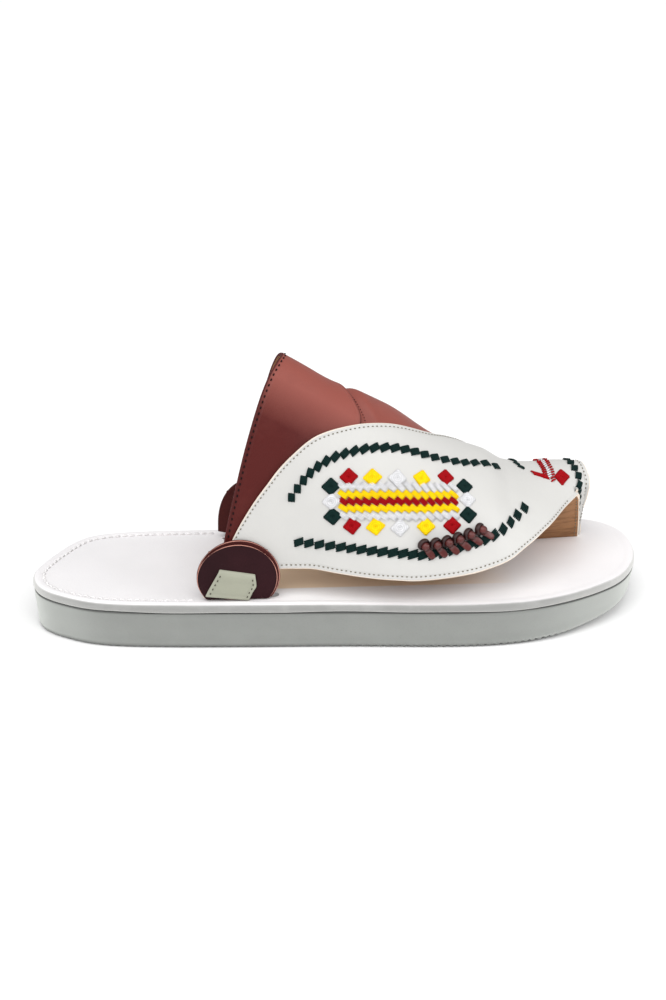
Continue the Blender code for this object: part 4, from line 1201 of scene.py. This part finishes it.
class SANDAL_OT_anchors(bpy.types.Operator):
    """Lay the half-moon discs and keeper tabs over the strap ends"""

    bl_idname = "sandal.anchors"
    bl_label = "Discs and keeper tabs"

    def execute(self, context):
        made = sizes()
        rim = leather("disc_rim_leather", colours().rim_disc, grain=0.6 * MM, depth=0.05 * MM,
                      roughness=0.5, specular=0.15, blotch=0.14, wave=0.2 * MM, edge_factor=0.85)
        face = leather("disc_face_leather", colours().face_disc, grain=0.6 * MM, depth=0.05 * MM,
                       roughness=0.45, specular=0.12, blotch=0.2, wave=0.25 * MM, edge_factor=0.7)
        raw = leather("disc_cut_edge", colours().disc_edge, grain=0.35 * MM, depth=0.06 * MM,
                      roughness=0.8, specular=0.15, blotch=0.12)
        cream = leather("cream_leather", colours().cream, grain=0.6 * MM, depth=0.04 * MM,
                        roughness=0.45, blotch=0.05, wave=0.15 * MM, edge_factor=1.06, groove=0.1 * MM)
        thread = thread_finish("tab_thread", tuple(0.35 * c for c in colours().seam))
        gap, wall, disc = made.clearance, made.strap_wall, made.disc_wall
        under = 0.5 * wall + gap + 0.5 * disc
        for side, first in (("outer", made.layer_step + under), ("inner", under)):
            for order, finish, kind in ((0, rim, "back"), (1, face, "front")):
                along, height, radius = half_moon(DISCS[side][order], DISC_FOOT[side], DISC_SQUARE[side])
                off = first + order * (disc + gap) + 0.35 * MM * (1 - radius ** 4) * order
                sheet = anchor_sheet(side, along, height, off)
                make_piece(f"{side}_{kind}_disc_leather", [shell_of(sheet, disc, raw_bands=1)],
                           [finish, rim, raw],
                           [f"{side}_disc_{kind}"])
            self.lay_tab(side, first + 1.5 * disc + 2 * gap + 0.5 * made.tab_wall + 0.3 * MM,
                         cream, raw, thread)
        return {"FINISHED"}

    def lay_tab(self, side, off, cream, raw, thread):
        """The keeper tab: its top turns in over a round fold and goes back under itself."""
        turn = np.linspace(0.1, 1.0, 8) * math.pi / 2
        height = np.concatenate([np.linspace(0.6, 12.6, 26), 12.6 + 1.4 * np.sin(turn)])
        turned = np.concatenate([np.zeros(26), 1 - np.cos(turn)])
        rear = steady_curve(column(TAB_EDGES, 0), column(TAB_EDGES, 1), height)
        front = steady_curve(column(TAB_EDGES, 0), column(TAB_EDGES, 2), height)
        along = (rear + (front - rear) * even(34)[:, None]) * MM
        lift = 0.25 * np.exp(-((height - 11.0) / 1.6) ** 2) - 1.1 * turned
        up, way = (height - 0.6) / 13.4, even(34)[:, None]
        tilt = ((TAB_TILT[0] * (1 - way) + TAB_TILT[1] * way) * (1 - up)
                + (TAB_TILT[2] * (1 - way) + TAB_TILT[3] * way) * up)
        sheet = anchor_sheet(side, along, (height + tilt) * MM, off + lift * MM)
        wall = sizes().tab_wall
        make_piece(f"{side}_tab_leather", [shell_of(sheet, wall)], [cream, raw, cream],
                   [f"{side}_keeper_tab"])
        grain = grain_side(sheet, wall)
        spans = (0.04, 0.78) if side == "outer" else (0.22, 0.96)
        seams = seams_on(grain, [("rear", *spans), ("front", *spans)], 1.2 * MM)
        make_piece(f"{side}_tab_stitches", seams, [thread])


# ------------------------------------------------------------------ knots

KNOTS = 6
# Places of the first and the last knot: along, share; and how far their row sags between them.
KNOT_FIRST = (38.5 * MM, 0.176)
KNOT_LAST = (64.0 * MM, 0.233)
KNOT_SAG = 0.006
# How far the tongues of the first and the last knot reach: along, share.
KNOT_REACH = [(4.6 * MM, -0.0245), (6.3 * MM, -0.013)]
# A knot's coiled head, turned about its own axis: along the axis and radius, mm.
HEAD_PROFILE = [(-1.8, 0.15), (-1.8, 1.9), (-1.4, 2.55), (-0.7, 2.98), (0.3, 3.02), (0.85, 2.8),
                (0.95, 2.4), (0.5, 2.1)]
PLUG_PROFILE = [(-0.2, 0.2), (-0.2, 1.85), (1.0, 2.0), (2.0, 1.95), (2.9, 1.6), (3.4, 1.0), (3.55, 0.15)]
# How high a head's middle is over the leather, and the lean of its axis: ahead, up.
HEAD_HEIGHT = 2.6 * MM
HEAD_LEAN = (0.8, 0.62)
HEAD_SIDES = 28
# A knot's flat tongue: distance from the head's middle, height, half width, half thickness, mm.
TONGUE_PROFILE = [(1.6, 0.5, 1.2, 0.5), (2.6, 0.75, 1.35, 0.6), (3.6, 1.15, 1.5, 0.6),
                  (4.7, 1.25, 1.6, 0.55), (5.8, 1.05, 1.65, 0.5), (6.9, 0.85, 1.55, 0.48),
                  (7.8, 0.75, 1.2, 0.42), (8.2, 0.72, 0.7, 0.25)]
TONGUE_SIDES = 20


class SANDAL_OT_knots(bpy.types.Operator):
    """Roll the leather knots and lay their tongues"""

    bl_idname = "sandal.knots"
    bl_label = "Leather knots"

    def execute(self, context):
        way = np.arange(KNOTS) / (KNOTS - 1)
        along = KNOT_FIRST[0] + (KNOT_LAST[0] - KNOT_FIRST[0]) * way
        share = KNOT_FIRST[1] + (KNOT_LAST[1] - KNOT_FIRST[1]) * way - KNOT_SAG * 4 * way * (1 - way)
        head = arch_layer(along, share, vamp_face())
        reach_along, reach_share = np.linspace(*KNOT_REACH, KNOTS).T
        tail = arch_layer(along + reach_along, share + reach_share, vamp_face())
        up = arch_normal(along + 0.5 * reach_along, share + 0.5 * reach_share)
        ahead = unit(tail - head)
        up = unit(up - ahead * np.sum(up * ahead, axis=1, keepdims=True))
        across = np.cross(up, ahead)
        axis = unit(ahead * HEAD_LEAN[0] + up * HEAD_LEAN[1])
        rise = np.cross(axis, across)
        # Painted shade: slant darkens the knots' rims towards grazing angles; the rings' darker colour is
        # partly painted shade.
        light = leather("knot_leather", colours().knot, grain=0.45 * MM, depth=0.05 * MM, roughness=0.28,
                        specular=0.45, blotch=0.25, slant=0.2)
        dark = leather("knot_ring_leather", colours().knot_ring_and_shade, grain=0.4 * MM, depth=0.06 * MM,
                       roughness=0.4, blotch=0.25, slant=0.45)
        place, height, wide, thick = (column(TONGUE_PROFILE, number, MM) for number in range(4))
        for number in range(KNOTS):
            one = slice(number, number + 1)
            middle = (head + up * HEAD_HEIGHT)[one, None]
            parts = []
            for profile, finish in ((HEAD_PROFILE, 1), (PLUG_PROFILE, 0)):
                reach, radius = column(profile, 0, MM), column(profile, 1, MM)
                parts.append(carried(middle + axis[one, None] * reach[:, None], across[one, None],
                                     rise[one, None], radius, radius, HEAD_SIDES, finish=finish))
            path = head[one, None] + ahead[one, None] * place[:, None] + up[one, None] * height[:, None]
            lift = np.cross(unit(np.gradient(path, axis=1)), across[one, None])
            parts.append(carried(path, across[one, None], lift, wide, thick, TONGUE_SIDES, square=4.0))
            make_piece(f"leather_knot_{number + 1}", parts, [light, dark],
                       [f"knot_{number + 1}"])
        return {"FINISHED"}


# ------------------------------------------------------------------ embroidery

GREEN, RED, YELLOW, WHITE = range(4)
# The middle band's centre line: along mm, share.
BAND_LINE = [(1.4, 0.2171), (28.3, 0.2454), (54.6, 0.2924)]
BAND_STITCHES = 15
# Rows of the band: height over its centre line, height of the row, slant, mm, and yarn.
BAND_ROWS = [(6.7, 4.4, 4.4, WHITE), (3.1, 3.6, 4.2, YELLOW), (0.0, 3.2, 3.6, RED),
             (-3.1, 3.4, 4.7, YELLOW), (-6.5, 3.9, 4.4, WHITE)]
BAND_LAY = 0.78 * MM
# Diamonds: share of the band's length, height over its centre line in mm, and yarn.
DIAMONDS = [
    (0.093, 11.2, RED), (0.293, 11.0, YELLOW), (0.480, 10.7, WHITE), (0.667, 11.3, YELLOW),
    (0.906, 12.0, RED),
    (0.093, -11.1, RED), (0.292, -11.3, YELLOW), (0.515, -11.6, WHITE), (0.745, -10.9, YELLOW),
    (0.950, -11.1, RED),
    (-0.068, 7.0, GREEN), (-0.068, 0.2, WHITE), (-0.062, -6.6, GREEN),
    (1.085, 7.4, GREEN), (1.095, 0.8, WHITE), (1.090, -6.4, GREEN),
]
DIAMOND_HALF = (4.25 * MM, 4.0 * MM)
# Stepped lines: number of a block, then its place along, mm, and its share.
STEPPED_LINES = [
    [(0, -20.8, 0.198), (3, -11.9, 0.2464), (6, -0.6, 0.2905), (9, 12.8, 0.3245), (12, 26.4, 0.3490),
     (15, 40.0, 0.3735), (18, 55.1, 0.4010), (22, 75.4, 0.4420)],
    [(0, -17.4, 0.1308), (4, 2.0, 0.1391), (8, 20.6, 0.1447), (12, 38.5, 0.1540), (16, 56.0, 0.1880),
     (20, 71.5, 0.2269), (22, 79.7, 0.2737), (24, 87.6, 0.3188)],
    [(0, 90.3, 0.4705), (1, 88.5, 0.4890), (2, 87.6, 0.519), (3, 87.4, 0.56), (6, 87.0, 0.66),
     (8, 86.5, 0.74)],
]
# Blocks of each stepped line, first and last: length of its lays and width of all of them in mm,
# how far they turn from the line's heading and how far the block leans, in degrees.
BLOCK_SHAPES = [((4.3, 2.7, 35, 30), (6.0, 2.7, 15, 12)), ((5.2, 2.7, 23, 10), (5.5, 3.2, 20, 8)),
                ((3.6, 1.3, 26, 13), (3.6, 1.3, 26, 13))]
FRONT_BLOCK = (4.8, 2.8, -22, -8)
BLOCK_YARNS = 5
# The front line's distance from the hem: near the fold, how much less beyond, and where it turns
# over, as distances walked along the hem.
FRONT_INSET = (9.5 * MM, 3.6 * MM, 31 * MM, 13 * MM)
# Half the width of a lay of yarn in blocks, band and ropes, as shares of the yarn's width.
BLOCK_YARN, BAND_YARN, ROPE_YARN = 0.42, 0.45, 0.52
BAND_BUNDLE = 3
DIAMOND_LAYS = 7
# From a diamond's middle to its side: share of the way, height and thickness of the lay.
DIAMOND_LAY = [(0.01, 0.08, 0.3), (0.1, 0.3, 0.4), (0.28, 0.95, 0.6), (0.55, 1.1, 0.85),
               (0.8, 1.0, 1.0), (0.95, 0.6, 1.0), (1.02, -0.3, 0.9)]
# A rope's stitches: how many, how far ahead each slants and how wide the rope is.
ROPE_STITCHES = 11
ROPE_SLANT = 2.6 * MM
ROPE_WIDTH = 2.4 * MM
# Ring ornament: yarn, then points of a rope of short stitches: along mm, share.
ROPES = [
    (RED, [(100.5, 0.545), (101.5, 0.4838), (102.1, 0.445), (101.9, 0.416)]),
    (WHITE, [(102.7, 0.545), (103.4, 0.4683), (104.1, 0.4395), (103.9, 0.412)]),
    (RED, [(104.8, 0.545), (105.4, 0.4709), (105.8, 0.4418), (105.2, 0.394)]),
    (RED, [(95.9, 0.442), (99.3, 0.4283), (102.3, 0.4139)]),
]
RING_MIRROR = 0.545
# The ring's diamond: its middle, and its corners in turn: along mm, share.
RING_DIAMOND = ((110.2, 0.3990), ((113.8, 0.3965), (110.5, 0.4370), (106.2, 0.4080), (109.1, 0.3660)))


def yarn_on_arch(start, end, lift, half_width, finish):
    """Lays of yarn between places on the arch, (along, share) arrays start and end: each rises from
    its hole, runs flat and goes down again, height = lift (1 - 1.5 |2t - 1|^6)."""
    t = np.linspace(0, 1, THREAD_PLACES)
    along, share = (s[:, None] + (e - s)[:, None] * t for s, e in zip(start, end))
    height = np.asarray(lift)[..., None] * (1 - 1.5 * np.abs(2 * t - 1) ** 6)
    slim = np.asarray(half_width)[..., None] * (1 - 0.25 * np.abs(2 * t - 1) ** 4)
    path = arch_layer(along, share, vamp_face() + height)
    return threads(path, arch_normal(along, share), slim, slim * 0.72, finish)


def line_places(points, count):
    """Even places along a line of (along mm, share) points, with the line's heading at each."""
    points = np.array(points)
    knots = np.arange(len(points), dtype=float)
    fine = np.linspace(0, len(points) - 1, 400)
    along = steady_curve(knots, points[:, 0] * MM, fine)
    share = steady_curve(knots, points[:, 1], fine)
    walked = arc_places(arch_base(along, share))
    at = np.linspace(0, walked[-1], count)
    heading = np.interp(at, walked, np.gradient(along)), np.interp(at, walked, np.gradient(share))
    return np.interp(at, walked, along), np.interp(at, walked, share), heading


def block_lays(count, first, last):
    """Ends of the lays of yarn of count blocks, each stacked to a leaning block whose shape goes
    from the first's to the last's:
    (x, y) = +-long/2 (cos turn, sin turn) + offset (-sin lean, cos lean)."""
    shapes = np.repeat(np.linspace(first, last, count), BLOCK_YARNS, axis=0)
    half, (turn, lean) = 0.5 * MM * shapes[:, 0], np.radians(shapes[:, 2:]).T
    offset = np.tile(np.linspace(-0.5, 0.5, BLOCK_YARNS), count) * MM * shapes[:, 1]
    return [(way * half * np.cos(turn) - offset * np.sin(lean),
             way * half * np.sin(turn) + offset * np.cos(lean)) for way in (-1, 1)]


def stepped_line(points, shapes):
    """Blocks of satin stitch along a line over the arch, corner to corner."""
    numbers = column(points, 0)
    count = int(numbers[-1]) + 1
    fine = np.linspace(0, count - 1, 4 * count - 3)
    along = steady_curve(numbers, column(points, 1, MM), fine)
    share = steady_curve(numbers, column(points, 2), fine)
    heading = np.gradient(along)[::4], np.gradient(share)[::4]
    along, share = along[::4], share[::4]
    places = np.repeat(along, BLOCK_YARNS), np.repeat(share, BLOCK_YARNS)
    headings = tuple(np.repeat(h, BLOCK_YARNS) for h in heading)
    ends = [arch_walk(*places, headings, x, y) for x, y in block_lays(count, *shapes)]
    return yarn_on_arch(*ends, sizes().yarn_lift, BLOCK_YARN * sizes().yarn_width, GREEN)


def band_centre(way, height):
    """Places on the arch from the band's length share and the height over its centre line."""
    points = np.array(BAND_LINE)
    along = (points[0, 0] + (points[-1, 0] - points[0, 0]) * way) * MM
    slope = (points[-1, 1] - points[0, 1]) / ((points[-1, 0] - points[0, 0]) * MM)
    beyond = along - np.clip(along, points[0, 0] * MM, points[-1, 0] * MM)
    share = steady_curve(points[:, 0] * MM, points[:, 1], along) + beyond * slope
    heading = np.ones_like(along), np.full_like(along, slope)
    return (*arch_walk(along, share, heading, 0 * along, height), heading)


def band_rows():
    """The band's rows of slanting satin stitches: each stitch is a bundle of three lays of yarn
    side by side, with a gap to the next bundle."""
    made = []
    number = np.arange(BAND_STITCHES * BAND_BUNDLE)
    inside = number % BAND_BUNDLE - 1
    way = (number // BAND_BUNDLE + 0.5) / BAND_STITCHES
    one = np.ones(len(way))
    plump = np.where(inside == 0, 1.08, 0.96)
    for height, row, slant, yarn in BAND_ROWS:
        half_slant, half_row = 0.5 * slant * MM * (1 + 0.25 * way), 0.5 * row * MM
        beside_x, beside_y = (k / math.hypot(slant, row) * BAND_LAY * inside for k in (row, slant))
        along, share, heading = band_centre(way, one * height * MM)
        start = arch_walk(along, share, heading, -half_slant * one + beside_x, half_row * one + beside_y)
        end = arch_walk(along, share, heading, half_slant * one + beside_x, -half_row * one + beside_y)
        made.append(yarn_on_arch(start, end, sizes().yarn_lift * 1.3 * plump,
                                 BAND_YARN * sizes().yarn_width * plump, yarn))
    return made


def diamond_corners(along, share, heading):
    """A diamond's four corners on the arch, as (along, share), from its middle and its heading."""
    places = np.full(4, along), np.full(4, share)
    heading = np.full(4, heading[0]), np.full(4, heading[1])
    x, y = np.array([(1, 0, -1, 0), (0, 1, 0, -1)]) * np.array(DIAMOND_HALF)[:, None]
    return np.stack(arch_walk(*places, heading, x, y), axis=1)


def eyelet_diamond(middle, corners, yarn):
    """Yarn that runs from a hole in the middle of a diamond to its sides, seven lays to a side:
    side point = corner (1 - t) + next corner t."""
    corners = np.array(corners) - middle
    t = ((np.arange(DIAMOND_LAYS) + 0.5) / DIAMOND_LAYS)[None, :, None]
    rim = (corners[:, None] * (1 - t) + np.roll(corners, -1, axis=0)[:, None] * t).reshape(-1, 2)
    way = column(DIAMOND_LAY, 0)
    lift = column(DIAMOND_LAY, 1, sizes().yarn_lift)
    slim = column(DIAMOND_LAY, 2) * 0.5 * sizes().yarn_width
    along, share = (middle[k] + rim[:, k, None] * way for k in (0, 1))
    path = arch_layer(along, share, vamp_face() + lift)
    return threads(path, arch_normal(along, share), slim, slim * 0.8, yarn)


def rope(points, yarn):
    """A rope of short slanting stitches along a line over the arch."""
    along, share, heading = line_places(points, ROPE_STITCHES)
    x, y = np.full(len(along), 0.5 * ROPE_SLANT), np.full(len(along), 0.5 * ROPE_WIDTH)
    start, end = (arch_walk(along, share, heading, way * x, -way * y) for way in (-1, 1))
    return yarn_on_arch(start, end, sizes().yarn_lift, ROPE_YARN * sizes().yarn_width, yarn)


def front_blocks(grain):
    """Blocks of the front stepped line: it runs inside the ring's front hem, from the foot of the
    fold up and over to the ring's inner foot, close to the hem at the foot and further in above."""
    first = LEAF_COLUMNS - 1 + 2 * len(MOUTH_COLUMNS) + FOLD_WALL_STEPS + FOLD_TURN_STEPS + 3
    ring = grain[:, first:]
    inset = FRONT_INSET[0] - FRONT_INSET[1] * ease((arc_places(ring[-1]) - FRONT_INSET[2]) / FRONT_INSET[3])
    line = border_line(ring, "front", inset)
    walked = arc_places(line[:, :3])[-1]
    count = int(walked / sizes().zigzag_pitch)
    at = (np.arange(count) + 0.5) * walked / count
    both = along_line(line, at)
    ahead = unit((along_line(line, at + 0.5 * MM) - along_line(line, at - 0.5 * MM))[:, :3])
    off = unit(both[:, 3:])
    aside = np.cross(off, ahead)
    t = np.linspace(0, 1, THREAD_PLACES)
    (x0, y0), (x1, y1) = block_lays(1, FRONT_BLOCK, FRONT_BLOCK)
    x = x0[:, None] + (x1 - x0)[:, None] * t
    y = y0[:, None] + (y1 - y0)[:, None] * t
    lift = sizes().yarn_lift * (1 - 1.5 * np.abs(2 * t - 1) ** 6)
    path = (both[:, None, None, :3] + ahead[:, None, None] * x[..., None]
            + aside[:, None, None] * y[..., None] + off[:, None, None] * lift[:, None])
    path = path.reshape(-1, len(t), 3)
    off = np.repeat(off, BLOCK_YARNS, axis=0)[:, None] * np.ones((1, len(t), 1))
    slim = BLOCK_YARN * sizes().yarn_width * (1 - 0.3 * np.abs(2 * t - 1) ** 3)
    return threads(path, off, slim, slim * 0.72, GREEN)


class SANDAL_OT_embroidery(bpy.types.Operator):
    """Work the stepped lines, the band and the diamonds on the vamp"""

    bl_idname = "sandal.embroidery"
    bl_label = "Embroidery"

    def execute(self, context):
        made = colours()
        yarns = [thread_finish("green_yarn", made.green), thread_finish("red_yarn", made.red),
                 thread_finish("yellow_yarn", made.yellow), thread_finish("pale_yarn", made.pale)]
        lines = [stepped_line(points, shapes) for points, shapes in zip(STEPPED_LINES, BLOCK_SHAPES)]
        lines.append(front_blocks(vamp_sides()[0]))
        make_piece("stepped_lines", lines, yarns)
        make_piece("embroidered_band", band_rows(), yarns)
        diamonds = []
        for way, height, yarn in DIAMONDS:
            along, share, heading = band_centre(np.array([way]), np.array([height * MM]))
            corners = diamond_corners(along[0], share[0], (heading[0][0], heading[1][0]))
            diamonds.append(eyelet_diamond((along[0], share[0]), corners, yarn))
        make_piece("embroidered_diamonds", diamonds, yarns)
        ornament = []
        for yarn, points in ROPES:
            ornament.append(rope(points, yarn))
            ornament.append(rope([(a, 2 * RING_MIRROR - s) for a, s in points], yarn))
        middle, corners = np.array(RING_DIAMOND[0]), np.array(RING_DIAMOND[1])
        ornament.append(eyelet_diamond(middle * (MM, 1), corners * (MM, 1), RED))
        other = np.array([MM, -1.0])
        ornament.append(eyelet_diamond(middle * other + (0, 2 * RING_MIRROR),
                                       (corners * other + (0, 2 * RING_MIRROR))[::-1], RED))
        make_piece("ring_ornament", ornament, yarns)
        return {"FINISHED"}


# ------------------------------------------------------------------ stage


FLOOR_HALF = 6.0
FLOOR_LEVEL = -0.2 * MM
SKY_STRENGTH = 0.5
# Key light: where it comes from, its strength, and the angle of sky that it fills.
KEY_FROM, KEY_STRENGTH, KEY_ANGLE = (-0.2, -0.75, 1.1), 2.45, math.radians(80)
# Side lights: name, place, aim and power; they are squares of this size.
SIDE_LIGHTS = [("left_light", (-1.2, -0.2, 0.35), (0.0, 0.0, 0.03), 2.0),
               ("right_light", (1.1, -0.3, 0.7), (0.05, 0.0, 0.03), 5.0)]
SIDE_SIZE = 0.6
# Camera: what it looks at, its distance, the directions it looks from, its lens and film in mm.
CAMERA_AIM, CAMERA_REACH = (0.0, 0.0, 0.054), 1.0
CAMERA_AZIMUTH, CAMERA_ELEVATION = math.radians(-3.3), math.radians(23.0)
CAMERA_LENS, CAMERA_FILM = 75.6, 36.0


def soft_light(name, place, aim, power):
    """A square studio light that points from one place at another."""
    lamp = bpy.data.lights.new(name, "AREA")
    lamp.size = SIDE_SIZE
    lamp.energy = power
    light = bpy.data.objects.new(name, lamp)
    light.location = place
    light.rotation_euler = (Vector(aim) - Vector(place)).to_track_quat("-Z", "Y").to_euler()
    bpy.context.scene.collection.objects.link(light)


class SANDAL_OT_stage(bpy.types.Operator):
    """Set up the floor, the lights and the camera"""

    bl_idname = "sandal.stage"
    bl_label = "Stage"

    def execute(self, context):
        scene = context.scene
        world = bpy.data.worlds.new("studio")
        world.use_nodes = True
        sky = world.node_tree.nodes["Background"]
        sky.inputs["Color"].default_value = (1.0, 1.0, 1.0, 1.0)
        sky.inputs["Strength"].default_value = SKY_STRENGTH
        scene.world = world
        scene.view_settings.view_transform = "Standard"
        scene.view_settings.look = "None"
        mesh = bpy.data.meshes.new("floor")
        corners = [(x * FLOOR_HALF, y * FLOOR_HALF, FLOOR_LEVEL)
                   for x, y in ((-1, -1), (1, -1), (1, 1), (-1, 1))]
        mesh.from_pydata(corners, [], [(0, 1, 2, 3)])
        paper, _, shader, _ = new_finish("pale_paper", 0.9, 0.1)
        shader.inputs["Base Color"].default_value = (0.9, 0.9, 0.9, 1.0)
        mesh.materials.append(paper)
        floor = bpy.data.objects.new("floor", mesh)
        scene.collection.objects.link(floor)
        lamp = bpy.data.lights.new("key_light", "SUN")
        lamp.energy = KEY_STRENGTH
        lamp.angle = KEY_ANGLE
        key = bpy.data.objects.new("key_light", lamp)
        key.rotation_euler = Vector(KEY_FROM).to_track_quat("Z", "Y").to_euler()
        scene.collection.objects.link(key)
        for light in SIDE_LIGHTS:
            soft_light(*light)
        lens = bpy.data.cameras.new("camera")
        lens.lens = CAMERA_LENS
        lens.sensor_width = CAMERA_FILM
        camera = bpy.data.objects.new("camera", lens)
        level = math.cos(CAMERA_ELEVATION)
        back = Vector((math.sin(CAMERA_AZIMUTH) * level, -math.cos(CAMERA_AZIMUTH) * level,
                       math.sin(CAMERA_ELEVATION)))
        camera.location = Vector(CAMERA_AIM) + back * CAMERA_REACH
        camera.rotation_euler = (-back).to_track_quat("-Z", "Y").to_euler()
        scene.collection.objects.link(camera)
        scene.camera = camera
        return {"FINISHED"}


class SANDAL_PT_panel(bpy.types.Panel):
    """Lists the sandal's pieces, sizes and colours"""

    bl_idname = "SANDAL_PT_panel"
    bl_label = "Arabic sandal"
    bl_space_type = "VIEW_3D"
    bl_region_type = "UI"
    bl_category = "Sandal"

    def draw(self, context):
        for step in STEPS:
            self.layout.operator(step.bl_idname)
        for group in (context.scene.sandal_sizes, context.scene.sandal_colours):
            box = self.layout.box()
            for name in group.bl_rna.properties.keys():
                if name not in ("rna_type", "name"):
                    box.prop(group, name)


STEPS = (SANDAL_OT_stage, SANDAL_OT_outsole, SANDAL_OT_footbed, SANDAL_OT_vamp, SANDAL_OT_straps,
         SANDAL_OT_anchors, SANDAL_OT_knots, SANDAL_OT_embroidery)
CLASSES = (SandalSizes, SandalColours) + STEPS + (SANDAL_PT_panel,)


def register():
    """Register the classes and hold the sizes and colours in the scene."""
    for made in CLASSES:
        bpy.utils.register_class(made)
    bpy.types.Scene.sandal_sizes = bpy.props.PointerProperty(type=SandalSizes)
    bpy.types.Scene.sandal_colours = bpy.props.PointerProperty(type=SandalColours)


def unregister():
    """Take the sizes, the colours and the classes away again."""
    del bpy.types.Scene.sandal_sizes
    del bpy.types.Scene.sandal_colours
    for made in reversed(CLASSES):
        bpy.utils.unregister_class(made)


def main():
    """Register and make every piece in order."""
    register()
    for step in STEPS:
        group, name = step.bl_idname.split(".")
        getattr(getattr(bpy.ops, group), name)()


if __name__ == "__main__":
    main()
